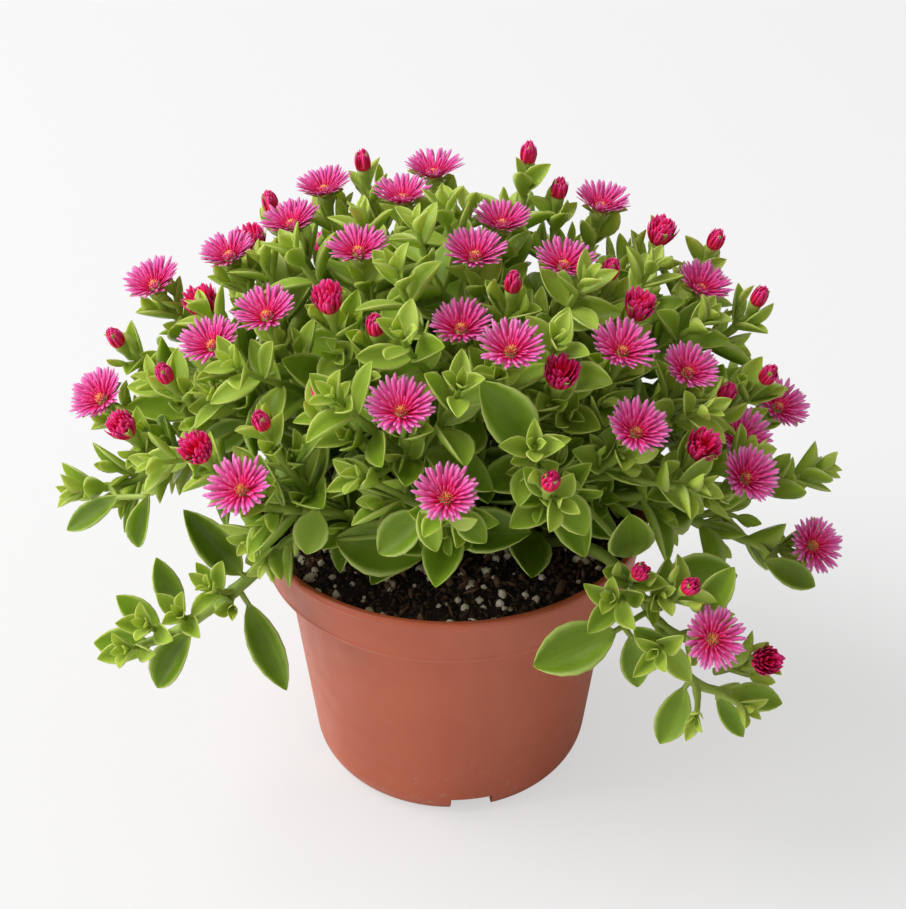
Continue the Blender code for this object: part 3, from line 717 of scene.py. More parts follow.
# %% Rough grains to scatter
def grain_set(name, count, stretch, jag, seed):
    """A collection of rough grains that is kept out of the scene."""
    rng = random.Random(seed)
    grains = bpy.data.collections.new(name)
    for number in range(count):
        bm = bmesh.new()
        bmesh.ops.create_icosphere(bm, subdivisions=1, radius=0.5)
        for vert in bm.verts:
            vert.co = Vector(a * b for a, b in zip(vert.co, stretch)) * rng.uniform(1.0 - jag, 1.0 + jag)
        grain = f"{name}_{number}"
        grains.objects.link(bpy.data.objects.new(grain, mesh_from(bm, grain)))
    return grains


# Each kind: its grains, how many to a square metre, the smallest and largest in mm, the finish and the seed
SPREADS = {
    "peat_crumbs": (grain_set("crumb", 5, (1.0, 0.8, 0.7), 0.35, 1), 330000.0, 0.9, 2.4, PEAT, 11),
    "bark_flakes": (grain_set("flake", 6, (1.0, 0.5, 0.16), 0.3, 2), 48000.0, 2.4, 7.0, BARK, 12),
    "soil_fibres": (grain_set("fibre", 3, (1.0, 0.06, 0.06), 0.2, 3), 24000.0, 4.0, 9.0, BARK, 13),
    "perlite_grains": (grain_set("perlite", 6, (1.0, 0.85, 0.8), 0.25, 4), 26000.0, 1.2, 3.8, PERLITE, 14),
    "perlite_lumps": (grain_set("lump", 6, (1.0, 0.8, 0.7), 0.3, 5), 9000.0, 3.6, 6.4, PERLITE, 15),
}
print("kinds of grain:", ", ".join(SPREADS))


# %% Scatter the grains
def scatter_tree():
    """Scatter grains over the soil's top, each turned and sized at random."""
    recipe, given = new_tree("scatter over soil", [
        ("Grains", "Collection"), ("Density", "Float"), ("Smallest", "Float"), ("Largest", "Float"),
        ("Edge", "Float"), ("Seed", "Int"), ("Finish", "Material")])
    place = recipe.add("GeometryNodeInputPosition")
    flat = recipe.vector("MULTIPLY", place, (1.0, 1.0, 0.0))
    radius = recipe.add("ShaderNodeVectorMath", flat, operation="LENGTH", give="Value")
    height = recipe.add("ShaderNodeSeparateXYZ", place, give="Z")
    on_top = recipe.times(recipe.math("GREATER_THAN", height, SOIL_EDGE_Z - 2.0 * MM),
                          recipe.math("LESS_THAN", radius, given["Edge"]))
    points = recipe.add("GeometryNodeDistributePointsOnFaces", named={
        "Mesh": given["Geometry"], "Density": recipe.times(given["Density"], on_top), "Seed": given["Seed"]})
    grains = recipe.add("GeometryNodeCollectionInfo", named={
        "Collection": given["Grains"], "Separate Children": True, "Reset Children": True})
    turn = recipe.add("FunctionNodeRandomValue", data_type="FLOAT_VECTOR", named={
        0: (0.0, 0.0, 0.0), 1: (math.tau, math.tau, math.tau), "Seed": given["Seed"]})
    size = recipe.chance(given["Smallest"], given["Largest"], recipe.math("ADD", given["Seed"], 1.0))
    tint = recipe.chance(0.0, 1.0, recipe.math("ADD", given["Seed"], 2.0))
    placed = recipe.add("GeometryNodeInstanceOnPoints", recipe.store(points, "tint", tint), named={
        "Instance": grains, "Pick Instance": True, "Rotation": turn, "Scale": size})
    return finish_tree(recipe, placed, given["Finish"])


SCATTER = scatter_tree()
for spread_name, (grains, density, smallest, largest, finish, seed) in SPREADS.items():
    scattered = grow(spread_name, soil_piece.data.copy(), SCATTER, {
        "Grains": grains, "Density": density, "Smallest": smallest * MM, "Largest": largest * MM,
        "Edge": soil_edge_radius() - 0.4 * largest * MM, "Seed": seed, "Finish": finish})
    settle(scattered)
    print(spread_name, len(scattered.data.polygons), "faces")

# %% [markdown]
# ## Where the shoots grow
# Every shoot starts in the soil, rises, and leans out until its heads stand on a dome about the crown. Two
# long shoots trail over the rim instead. The shoots differ as they do on any plant, so their ends are chosen
# one by one. These are the same stems as in the frame, so the fine plant lies on the plain one.

# %% Upright shoots
CROWN = Vector((0.0, 0.0, 85.0 * MM))

# Each shoot lists its heads as (x, y, z in mm, kind). The first one is the shoot's own end, and the others
# end side branches.
SHOOTS = {
    "shoot_01": [(-5, 56, 172, "flower"), (-14, 34, 175, "flower"), (-26, 50, 176, "bud")],
    "shoot_02": [(-38, 51, 169, "flower"), (-47, 33, 167, "flower"), (-54, 49, 163, "bud")],
    "shoot_03": [(-66, 32, 157, "flower"), (-60, 45, 152, "tuft")],
    "shoot_04": [(-26, 4, 174, "flower"), (-33, -20, 170, "tuft")],
    "shoot_05": [(-88, 25, 151, "flower"), (-98, 14, 137, "bud")],
    "shoot_06": [(-51, -16, 165, "flower"), (-20, -32, 169, "bud")],
    "shoot_07": [(-67, -14, 154, "flower"), (-72, 14, 149, "tuft"), (-80, -15, 143, "bud")],
    "shoot_08": [(-104, 6, 123, "flower"), (-93, -16, 126, "tuft"), (-108, -20, 108, "leaves")],
    "shoot_09": [(-56, -60, 137, "flower"), (-68, -45, 138, "tuft"), (-50, -49, 150, "bud")],
    "shoot_10": [(-13, -55, 159, "flower"), (-34, -47, 158, "bud")],
    "shoot_11": [(-1, -72, 143, "flower"), (-24, -58, 140, "leaves")],
    "shoot_12": [(3, -28, 168, "flower"), (16, -46, 172, "flower")],
    "shoot_13": [(7, -4, 177, "flower"), (17, -18, 174, "bud")],
    "shoot_14": [(15, 20, 174, "flower"), (23, 47, 180, "bud")],
    "shoot_15": [(32, -2, 173, "flower"), (45, 3, 166, "bud")],
    "shoot_16": [(45, 42, 168, "flower"), (32, 42, 171, "bud"), (62, 36, 160, "tuft")],
    "shoot_17": [(75, 28, 148, "flower"), (79, 40, 155, "bud"), (91, 24, 145, "bud")],
    "shoot_18": [(47, -30, 162, "flower"), (29, -45, 162, "tuft"), (52, -12, 163, "tuft")],
    "shoot_19": [(66, -25, 152, "flower"), (77, -20, 140, "bud")],
    "shoot_20": [(50, -50, 149, "flower"), (26, -68, 144, "bud"), (22, -62, 152, "leaves")],
    "shoot_21": [(82, -42, 128, "flower"), (68, -44, 138, "tuft"), (84, -14, 122, "flower")],
    "shoot_22": [(106, -28, 94, "flower"), (110, -4, 104, "leaves")],
    "shoot_23": [(99, 12, 116, "flower"), (91, -3, 135, "bud"), (93, 44, 104, "leaves")],
    "shoot_24": [(-40, 72, 136, "flower"), (-64, 58, 132, "bud"), (-84, 52, 106, "leaves")],
    "shoot_25": [(38, 74, 132, "flower"), (62, 60, 128, "bud"), (66, 72, 100, "leaves")],
    "shoot_26": [(2, 79, 112, "tuft"), (-34, 79, 99, "leaves")],
}
print(len(SHOOTS), "upright shoots with", sum(map(len, SHOOTS.values())), "ends")

# %% Trailing shoots
# Their points and radii are in mm. A head is (share along the stem, end, kind).
TRAILING = {
    "shoot_27": {
        "stem": [(-30, -12, 87.6), (-30.5, -12.5, 91), (-36, -20, 94.5), (-44, -28, 95), (-51, -33, 94),
                 (-59, -38, 88.5), (-66, -41, 83.5), (-73, -43, 79), (-82, -44, 73), (-91, -45, 70)],
        "radii": (2.4, 1.4),
        "heads": [],
    },
    "shoot_28": {
        "stem": [(28, -22, 87.2), (28.5, -22.5, 90.5), (34, -29, 96), (43, -39, 99), (50, -49, 98),
                 (56, -58, 93), (61, -63, 86), (65, -66, 79), (70, -67, 74), (77, -67, 71.5)],
        "radii": (2.0, 1.3),
        "heads": [(0.42, (51, -66, 113), "bud"), (0.60, (71, -78, 100), "flower"),
                  (0.80, (87, -66, 82), "tuft"), (0.55, (64, -71, 112), "bud")],
    },
}
print(len(TRAILING), "trailing shoots")

# %% Leaves that are placed one by one
# They turn their faces to this side, which is up and to the front.
SHOWN_SIDE = Vector((0.0, -0.7, 0.72))

# A leaf is (base, tip, breadth), in mm. A short stalk joins each base to its shoot.
PLACED = {
    "shoot_27": [((-60, -38.5, 91), (-76, -36, 112), 0.75), ((-58.5, -41, 83), (-48, -56, 62), 0.65),
                 ((-67, -40, 86), (-73, -38, 95), 0.8), ((-68, -40, 84), (-62, -46, 92), 0.8),
                 ((-78, -43, 79), (-84, -40, 99), 0.7), ((-75, -44, 75), (-87, -48, 57), 0.85),
                 ((-84, -43, 75), (-97, -40, 84), 0.9), ((-87, -45, 70), (-103, -48, 73), 1.1)],
    "shoot_28": [((46, -66, 93), (23, -71, 84), 1.05), ((50, -66, 92), (52, -71, 76), 0.9),
                 ((66, -67, 74), (60, -72, 56), 0.9), ((78, -67, 72), (94, -68, 68), 0.9),
                 ((75, -67, 70), (83, -70, 57), 0.7), ((58, -55, 103), (80, -52, 102), 0.95),
                 ((68, -66, 98), (78, -62, 112), 0.9)],
    "shoot_11": [((-33, -37, 103), (-8, -40, 97), 1.15), ((-6, -57, 127), (-20, -59, 115), 1.1),
                 ((1, -65, 133), (10, -70, 127), 1.2), ((-8, -62, 132), (-3, -68, 122), 1.0)],
    "shoot_20": [((21, -56, 147), (8, -53, 167), 1.05), ((29, -62, 138), (36, -69, 128), 1.2),
                 ((50, -52, 108), (48, -56, 126), 1.3)],
    "shoot_09": [((-37, -44, 119), (-40, -50, 107), 1.35)],
    "shoot_22": [((91, -30, 90), (107, -31, 80), 0.8)],
    "shoot_08": [((-95, -26, 110), (-112, -24, 96), 0.6), ((-86, -29, 113), (-92, -27, 92), 0.55)],
}
print(sum(map(len, PLACED.values())), "leaves placed by hand")


# %% Curves
STEM_STEPS = 5


def bezier(points, share):
    """A point on a cubic curve from its four control points."""
    first, second, third, last = points
    rest = 1.0 - share
    return (first * rest ** 3 + second * (3.0 * rest * rest * share) + third * (3.0 * rest * share * share)
            + last * share ** 3)


def curve(control):
    """A short row of points along a cubic curve."""
    return [bezier(control, step / STEM_STEPS) for step in range(STEM_STEPS + 1)]


def path_length(path):
    """A path's length."""
    return sum((b - a).length for a, b in zip(path, path[1:]))


def path_at(path, share):
    """The point and the unit tangent a share of the way along a path."""
    left = share * path_length(path)
    for start, end in zip(path, path[1:]):
        length = (end - start).length
        if left <= length or end is path[-1]:
            along = (end - start).normalized()
            return start + along * min(left, length), along
        left -= length


def branch_path(parent, share, end, facing):
    """A side branch from inside its parent stem to its own tip."""
    start, along = path_at(parent, share)
    span = (end - start).length
    return curve((start, start + along * (0.35 * span), end - facing * (0.35 * span), end))


def end_facing(path):
    """The direction a path ends in."""
    return (path[-1] - path[-2]).normalized()


print("a stem has", STEM_STEPS + 1, "points on one cubic curve")

# %% Paths of the upright stems
# Heads turn up to the light and a little forwards. A head's middle stands this far beyond its stem's end.
LIGHT_LEAN = (-0.65, 0.5)
LIGHT_HEIGHT = 0.9
SIDE_LEAN = 0.5
LEAFY_RISE = 0.2
HEAD_LIFT = {"flower": 6.0 * MM, "tuft": 4.5 * MM, "bud": 3.0 * MM, "leaves": 0.0}


def radial(head):
    """The direction from the crown to a head."""
    return (Vector(head[:3]) * MM - CROWN).normalized()


def head_facing(head):
    """A head faces out and up, the low ones more to the light in front; a leafy end only faces outwards."""
    outward = radial(head)
    if head[3] == "leaves":
        return Vector((outward.x, outward.y, max(outward.z, LEAFY_RISE))).normalized()
    light = Vector((0.0, LIGHT_LEAN[0] + LIGHT_LEAN[1] * outward.z, LIGHT_HEIGHT))
    return (outward * SIDE_LEAN + light).normalized()


def tip_point(head):
    """The end of a head's stem, a little under the head's middle."""
    return Vector(head[:3]) * MM - head_facing(head) * HEAD_LIFT[head[3]]


def root_point(head):
    """Where a shoot leaves the soil: nearer the middle the more upright it is."""
    outward = radial(head)
    azimuth = math.degrees(math.atan2(outward.y, outward.x))
    radius = (7.0 + 29.0 * outward.xy.length ** 1.3) * MM
    return polar(radius, azimuth, soil_height(radius, azimuth) + 2.0 * SOIL_GAP)


def stem_path(head):
    """A shoot's own stem, upright where it leaves the soil and ending as its head faces."""
    root = root_point(head)
    end = tip_point(head)
    span = (end - root).length
    outward = radial(head)
    start = root + UP * (2.5 * MM)
    rise = UP * (0.36 * span) + Vector((outward.x, outward.y, 0.0)).normalized() * (0.10 * span)
    return [root] + curve((start, start + rise, end - head_facing(head) * (0.30 * span), end))


lengths = [path_length(stem_path(heads[0])) / MM for heads in SHOOTS.values()]
print("upright stems are", round(min(lengths)), "to", round(max(lengths)), "mm long")

# %% [markdown]
# ## How leaves share the room
# Leaves come in opposite pairs, each pair a quarter turn from the last, small at the tip and large lower
# down. A real leaf grows where there is room, so each one is tried in its place and is turned a little, or
# made smaller, or left out where it would cut into something. Search trees over simple blade shapes make
# that test quick, and a table of boxes skips the ones that are far away.

# %% A leaf
BLADE_WIDTH = 0.56
BLADE_THICKNESS = 0.11


@dataclass
class Leaf:
    """One leaf blade: where it starts, which way it runs and faces, its length, and how it has grown."""

    base: Vector
    along: Vector
    face: Vector
    length: float
    age: float = 0.5
    breadth: float = 1.0
    bend: float = 0.1
    fold: float = 0.2
    sway: float = 0.0
    tint: float = 0.5


print("a blade is", BLADE_WIDTH, "of its length across and", BLADE_THICKNESS, "thick")


# %% Simple shapes that book room
def unit_ball(segments, rings):
    """A ball as (share of the way along, turn about it) points, with its faces."""
    bm = bmesh.new()
    bmesh.ops.create_uvsphere(bm, u_segments=segments, v_segments=rings, radius=1.0)
    points = [((1.0 + vert.co.z) / 2.0, math.atan2(vert.co.y, vert.co.x)) for vert in bm.verts]
    faces = [[vert.index for vert in face.verts] for face in bm.faces]
    bm.free()
    return points, faces


SWOLLEN_BALL = unit_ball(6, 4)
BLADE_BALL = unit_ball(4, 4)
HEAD_BALL = unit_ball(10, 5)


def solid_from(ball, place):
    """A search tree and its box, over a ball reshaped by `place`."""
    points = [place(share, turn) for share, turn in ball[0]]
    return BVHTree.FromPolygons(points, ball[1]), np.min(points, axis=0), np.max(points, axis=0)


def blade_place(leaf, swell=0.0):
    """Where a leaf blade's points go. `swell` makes it larger all round, to test its clearance."""
    across = leaf.face.cross(leaf.along)
    half_width = 0.5 * BLADE_WIDTH * leaf.breadth * leaf.length + swell
    half_thickness = 0.5 * BLADE_THICKNESS * leaf.length + 0.4 * MM + swell

    def place(share, turn):
        outline = (4.0 * share * (1.0 - share)) ** 0.8 if 0.0 < share < 1.0 else 0.0
        rise = 0.10 * leaf.length * (share * share - 0.5 * share)
        lift = half_thickness * math.sin(turn) * outline ** 0.7 - rise
        return (leaf.base + leaf.along * (share * (leaf.length + swell))
                + across * (half_width * outline * math.cos(turn)) + leaf.face * lift)

    return place


def round_place(tip, facing, section):
    """Where the points of a round shape on a stem's end go. `section` gives its radius and height."""
    side = facing.orthogonal().normalized()
    other = facing.cross(side)

    def place(share, turn):
        radius, height = section(share)
        return (tip + facing * height
                + side * (radius * math.cos(turn)) + other * (radius * math.sin(turn)))

    return place


def ending_place(tip, facing, radius, length):
    """A bud or a half-open tuft, on the end of a stem."""
    def section(share):
        return radius * math.sin(math.pi * min(max(share, 0.0), 1.0) ** 0.8), length * share - 1.2 * MM

    return round_place(tip, facing, section)


# An open head's cup and its dish of petals, as (share of the way up, radius in mm, height in mm)
HEAD_PROFILE = [(0.0, 0.0, 0.0), (0.1, 1.7, 0.9), (0.35, 3.2, 4.0), (0.65, 9.0, 7.2), (0.9, 3.0, 5.8),
                (1.0, 0.0, 5.0)]


def head_place(tip, facing):
    """An open flower head."""
    shares, radii, heights = zip(*HEAD_PROFILE)

    def section(share):
        return np.interp(share, shares, radii) * MM, np.interp(share, shares, heights) * MM

    return round_place(tip, facing, section)


def tube_solid(path, radius):
    """A search tree and its box, over a row of short cones along a path."""
    bm = bmesh.new()
    for start, end in zip(path, path[1:]):
        made = bmesh.ops.create_cone(bm, cap_ends=True, segments=6, radius1=radius, radius2=radius,
                                     depth=(end - start).length)["verts"]
        turn = UP.rotation_difference(end - start)
        for vert in made:
            vert.co = turn @ vert.co + 0.5 * (start + end)
    points = [vert.co[:] for vert in bm.verts]
    tree = BVHTree.FromBMesh(bm)
    bm.free()
    return tree, np.min(points, axis=0), np.max(points, axis=0)


print("shapes that book room have", [len(ball[1]) for ball in (SWOLLEN_BALL, BLADE_BALL, HEAD_BALL)], "faces")

# %% The plant's ledger of stems, leaves and flower heads
ENDING_SIZES = {"bud": (2.3 * MM, 8.5 * MM), "tuft": (3.8 * MM, 10.0 * MM)}
CLEARANCE = 0.5 * MM
MOST_SHAPES = 9000
FIT_SCALES = (1.0, 0.82, 0.64, 0.45)
FIT_TILTS = (0.0, 14.0, -14.0)
FIT_SWINGS = (0.0, 22.0, -22.0)


class Plant:
    """The stems, leaves and heads of the plant, with the room that each has taken."""

    def __init__(self):
        self.trees = []
        self.owners = []
        self.boxes = np.zeros((MOST_SHAPES, 6))
        self.stems = {}
        self.leaves = {}
        self.heads = []
        self.endings = {}

    def take(self, solid, owner=None):
        """Book the room that a shape fills."""
        tree, low, high = solid
        self.boxes[len(self.trees)] = (*low, *high)
        self.trees.append(tree)
        self.owners.append(owner)

    def is_clear(self, solid, *own):
        """Whether a shape keeps clear of everything but its own stem."""
        tree, low, high = solid
        boxes = self.boxes[:len(self.trees)]
        near = np.flatnonzero((boxes[:, :3] <= high).all(axis=1) & (boxes[:, 3:] >= low).all(axis=1))
        return not any(self.owners[index] not in own and self.trees[index].overlap(tree) for index in near)

    def add_stem(self, shoot, path, radii, ending, facing):
        """Book a stem and the head on its end, and note them for its shoot."""
        stems = self.stems.setdefault(shoot, [])
        self.leaves.setdefault(shoot, [])
        self.endings.setdefault(shoot, [])
        key = f"{shoot}_{len(stems)}"
        stems.append((path, radii, ending, facing))
        self.take(tube_solid(path, max(radii) + 0.1 * MM), key)
        if ending == "flower":
            self.heads.append((path[-1] + facing * SOIL_GAP, facing))
            self.take(solid_from(HEAD_BALL, head_place(*self.heads[-1])), f"{key}_head")
        elif ending in ENDING_SIZES:
            self.endings[shoot].append((path[-1], facing, ending))
            place = ending_place(path[-1], facing, *ENDING_SIZES[ending])
            self.take(solid_from(SWOLLEN_BALL, place), f"{key}_head")
        return key

    def fit_leaf(self, shoot, key, leaf, scales=FIT_SCALES, swell=CLEARANCE, own=()):
        """Fit a leaf in the room that is left: turned a little, or smaller, or not at all."""
        for scale, tilt, swing in product(scales, FIT_TILTS, FIT_SWINGS):
            turn = (Quaternion(leaf.face, math.radians(swing))
                    @ Quaternion(leaf.face.cross(leaf.along), math.radians(tilt)))
            fitted = replace(leaf, along=turn @ leaf.along, face=turn @ leaf.face, length=leaf.length * scale)
            if self.is_clear(solid_from(SWOLLEN_BALL, blade_place(fitted, swell)), key, *own):
                self.leaves[shoot].append(fitted)
                self.take(solid_from(BLADE_BALL, blade_place(fitted)), f"{key}_blade")
                return True
        return False


plant = Plant()
for node in ("pot", "soil"):
    solid = bpy.data.objects[node].data
    places = [vert.co[:] for vert in solid.vertices]
    plant.take((BVHTree.FromPolygons(places, [face.vertices[:] for face in solid.polygons]),
                np.min(places, axis=0), np.max(places, axis=0)))
print("room booked for the pot and the soil")

# %% [markdown]
# ## Laying out the plant
# First come the stems and their heads, then the leaves that the frame has: those that are listed one by one,
# and pairs of leaves from the tips inwards. Leaves are opposite, and each pair is a quarter turn from the
# last.


# %% Pairs of leaves
# Each pair is (distance from the tip, length, spread from the stem), in mm and degrees.
PAIRS = [(8.5, 13.0, 42.0), (19.0, 17.0, 54.0), (33.0, 21.0, 64.0), (49.0, 25.0, 70.0)]
BARE_FOOT = 9.0 * MM
PAIR_TURN = 0.9


def node_direction(path, distance, quarter, phase):
    """The point of a leaf node, its stem's direction, and the side its first leaf leaves by."""
    point, along = path_at(path, 1.0 - distance / path_length(path))
    side = Quaternion(along, phase + quarter * 0.5 * math.pi) @ along.orthogonal().normalized()
    return point, along, side


def opened(axis, reach, degrees):
    """Which way a blade runs and faces, when it opens from an axis towards one side."""
    angle = math.radians(degrees)
    return (axis * math.cos(angle) + reach * math.sin(angle),
            axis * math.sin(angle) - reach * math.cos(angle))


def pair_at(path, distance, length, opening, quarter, phase, age):
    """The two leaves of one pair, a distance from the tip."""
    if path_length(path) - distance < BARE_FOOT:
        return []
    point, along, side = node_direction(path, distance, quarter, phase)
    leaves = []
    for reach in (side, -side):
        leaf_along, face = (way.normalized() for way in opened(along, reach, opening))
        leaves.append(Leaf(point + reach * (0.4 * MM), leaf_along, face, length, age))
    return leaves


print("pairs of leaves at", [distance for distance, _, _ in PAIRS], "mm from a tip")

# %% Book the stems and their heads
STEM_RADII = (1.7 * MM, 1.25 * MM)
BRANCH_RADII = (1.15 * MM, 1.15 * MM)
BRANCH_SHARES = (0.45, 0.36)


def add_branch(shoot, parent, share, head):
    """Grow a side branch with a head. It gives back the line that its leaves grow on."""
    facing = head_facing(head)
    path = branch_path(parent, share, tip_point(head), facing)
    return shoot, plant.add_stem(shoot, path, BRANCH_RADII, head[3], facing), path


lines = []
for shoot, heads in SHOOTS.items():
    main = stem_path(heads[0])
    lines.append((shoot, plant.add_stem(shoot, main, STEM_RADII, heads[0][3], head_facing(heads[0])), main))
    lines += [add_branch(shoot, main, share, head) for share, head in zip(BRANCH_SHARES, heads[1:])]
for shoot, row in TRAILING.items():
    path = [Vector(point) * MM for point in row["stem"]]
    plant.add_stem(shoot, path, tuple(radius * MM for radius in row["radii"]), "leaves", end_facing(path))
    lines += [add_branch(shoot, path, share, (*end, kind)) for share, end, kind in row["heads"]]
print("stems", sum(map(len, plant.stems.values())), "heads", len(plant.heads))


# %% Fit the frame's own leaves
STALK_RADII = (0.9 * MM, 0.8 * MM)


def placed_leaf(row):
    """A listed leaf. The longer it is, the older."""
    base, tip, breadth = row
    base, tip = Vector(base) * MM, Vector(tip) * MM
    along = (tip - base).normalized()
    face = (SHOWN_SIDE - along * SHOWN_SIDE.dot(along)).normalized()
    length = (tip - base).length
    return Leaf(base, along, face, length, 0.2 + 20.0 * length, breadth)


def nearest_on(paths, point):
    """The nearest place to a point on any of some stems."""
    places = [path_at(path, step / 40.0)[0] for path, *_ in paths for step in range(3, 40)]
    return min(places, key=lambda place: (place - point).length)


for shoot, rows in PLACED.items():
    own = [f"{shoot}_{index}" for index in range(len(plant.stems[shoot]))]
    for row in rows:
        leaf = placed_leaf(row)
        foot = nearest_on(plant.stems[shoot], leaf.base)
        if plant.fit_leaf(shoot, own[0], leaf, own=own) and (foot - leaf.base).length > 1.0 * MM:
            grown = plant.leaves[shoot][-1]
            stalk = [foot, grown.base + grown.along * MM]
            plant.stems[shoot].append((stalk, STALK_RADII, "stalk", grown.along))
for order, (distance, length, opening) in enumerate(PAIRS):
    age = 0.25 + 0.13 * order
    for number, (shoot, key, path) in enumerate(lines):
        for leaf in pair_at(path, distance * MM, length * MM, opening, order, PAIR_TURN * number, age):
            plant.fit_leaf(shoot, key, leaf)
print("leaves", sum(map(len, plant.leaves.values())))

# %% [markdown]
# ## Leafy side shoots
# The plain frame leaves out the small shoots that fill the dome. Directions spread evenly over it by the
# golden angle, as seeds are in a sunflower, and a side shoot grows in each one that has room. The soil shows
# at the front, so none grows there.

# %% Leafy side shoots between the flower heads
FILLERS = 110
GOLDEN_ANGLE = 137.508
HEAD_ROOM = math.radians(6.0)
BACK_PULL = 0.13
TWIG_RADII = (1.0 * MM, 0.8 * MM)
# Bare stretches, as (first azimuth, last azimuth, elevation below which nothing grows), in degrees
FRONT_GAP = (-132.0, -48.0, 46.0)
CORNER_GAP = (-146.0, -128.0, 30.0)
RIM_GAP = (-170.0, -10.0, 20.0)
GAPS = (FRONT_GAP, CORNER_GAP, RIM_GAP)
# A side shoot is tried at each (reach from the crown in mm, share along its parent stem) in turn.
FILLER_TRIES = ((99, 0.55), (94, 0.45), (90, 0.6), (86, 0.4), (80, 0.5))


def filler_tips():
    """Directions spread evenly over the dome, less those near a head or over a bare stretch."""
    heads = [(tip - CROWN).normalized() for tip, _ in plant.heads]
    for number in range(FILLERS):
        elevation = math.degrees(math.asin(1.0 - 0.98 * (number + 0.5) / FILLERS))
        azimuth = (number * GOLDEN_ANGLE) % 360.0 - 180.0
        facing = direction(azimuth, elevation)
        bare = any(first < azimuth < last and elevation < top for first, last, top in GAPS)
        if not bare and min(facing.angle(head) for head in heads) > HEAD_ROOM:
            yield azimuth, elevation, facing


def add_twig(shoot, path, facing):
    """Grow a short leafy shoot along a path. It gives back the line that its leaves grow on."""
    return shoot, plant.add_stem(shoot, path, TWIG_RADII, "leaves", facing), path


def add_filler(azimuth, elevation, facing, mains):
    """Grow one leafy side shoot from the nearest stem, if there is room for its stem."""
    shoot, key, main = min(mains, key=lambda line: (line[2][-1] - CROWN).angle(facing))
    for reach, share in FILLER_TRIES:
        end = CROWN + facing * (reach * MM * (1.0 - BACK_PULL * max(0.0, facing.y)))
        path = branch_path(main, share, end, direction(azimuth, max(elevation, 10.0)))
        if plant.is_clear(tube_solid(path[2:], TWIG_RADII[0]), key, f"{key}_blade"):
            return add_twig(shoot, path, facing)
    return None


mains = [line for line in lines if line[1].endswith("_0")]
fillers = [made for tip in filler_tips() if (made := add_filler(*tip, mains))]
print("leafy side shoots", len(fillers))

# %% Sprigs of young leaves low on three shoots
# Each sprig is (share along the shoot's stem, end in mm, direction of growth).
SPRIGS = {
    "shoot_27": [(0.56, (-68, -48, 94), (-0.5, -0.3, 0.7)), (0.58, (-62, -50, 88), (0.1, -0.8, 0.5)),
                 (0.72, (-76, -54, 89), (-0.1, -0.6, 0.8)), (0.84, (-86, -55, 86), (-0.5, -0.5, 0.7)),
                 (0.90, (-92, -56, 78), (-0.6, -0.7, 0.4))],
    "shoot_09": [(0.45, (-56, -48, 110), (-0.1, -0.9, 0.3)), (0.35, (-52, -45, 101), (-0.2, -0.9, 0.1))],
    "shoot_28": [(0.40, (44, -68, 106), (-0.3, -0.5, 0.8)), (0.50, (58, -66, 106), (0.2, -0.6, 0.8)),
                 (0.62, (56, -76, 94), (-0.5, -0.8, 0.5)), (0.66, (74, -60, 92), (0.5, -0.2, 0.8)),
                 (0.92, (82, -74, 72), (0.5, -0.7, 0.2)), (0.86, (68, -78, 72), (-0.3, -0.9, 0.1))],
}

twigs = []
for shoot, sprigs in SPRIGS.items():
    parent = plant.stems[shoot][0][0]
    for share, end, aim in sprigs:
        path = branch_path(parent, share, Vector(end) * MM, Vector(aim).normalized())
        twigs.append(add_twig(shoot, path, end_facing(path)))
print("sprigs", len(twigs))

# %% [markdown]
# ## The other leaves
# A shoot's youngest leaves crowd round its tip, its oldest stand low on the stem, and a small tuft of new
# leaves starts in the axil, the angle between a leaf and its stem. Each group takes the room that is left, so
# the order matters: what shows most comes first.

# %% Pairs for each kind of stem
# Each pair is (distance from the tip, length, spread, age), the first two in mm and the third in degrees.
TIP_PAIRS = [(0.5, 7.0, 20.0, 0.0), (2.5, 10.0, 34.0, 0.1), (6.5, 13.0, 46.0, 0.2), (13.0, 16.0, 54.0, 0.3),
             (22.0, 19.0, 62.0, 0.42), (34.0, 22.0, 66.0, 0.55)]
OLD_PAIRS = [(62.0, 26.0, 72.0, 0.75), (76.0, 24.0, 76.0, 0.9)]
SPRIG_PAIRS = [(0.5, 6.0, 20.0, 0.0), (2.5, 9.0, 34.0, 0.1), (5.5, 12.0, 46.0, 0.2), (10.0, 14.0, 56.0, 0.3)]
END_PAIRS = TIP_PAIRS[:3]
# The two pairs of an axil's tuft are (distance from its tip, length, spread, quarter turn).
AXIL_PAIRS = [(0.3, 8.0, 20.0, 1), (3.5, 12.0, 42.0, 0)]
EXTRA_SCALES = (1.0, 0.8, 0.6)
EXTRA_SWELL = 0.1 * MM
EXTRA_TURN = 0.7


def grow_pairs(line, number, rows):
    """Add pairs of leaves to one stem."""
    shoot, key, path = line
    for quarter, (distance, length, opening, age) in enumerate(rows):
        for leaf in pair_at(path, distance * MM, length * MM, opening, quarter, EXTRA_TURN * number, age):
            plant.fit_leaf(shoot, key, leaf, EXTRA_SCALES, EXTRA_SWELL)


def grow_axil(shoot, key, point, along, reach, age):
    """A tuft of young leaves in the angle between a leaf and its stem, on a short stalk."""
    axis = (along * 0.8 + reach * 0.6).normalized()
    stalk = [point, point + axis * (3.0 * MM), point + axis * (6.5 * MM)]
    line = [point - axis * BARE_FOOT * 2.0] + stalk
    grown = 0
    for distance, length, opening, quarter in AXIL_PAIRS:
        for leaf in pair_at(line, distance * MM, length * MM, opening, quarter, 0.0, age):
            grown += plant.fit_leaf(shoot, key, leaf, (1.0, 0.75), 0.0)
    if grown:
        plant.stems[shoot].append((stalk, (0.9 * MM, 0.7 * MM), "stalk", axis))


def ending_of(line):
    """What a line's stem ends in."""
    shoot, key, _ = line
    return plant.stems[shoot][int(key.rsplit("_", 1)[1])][2]


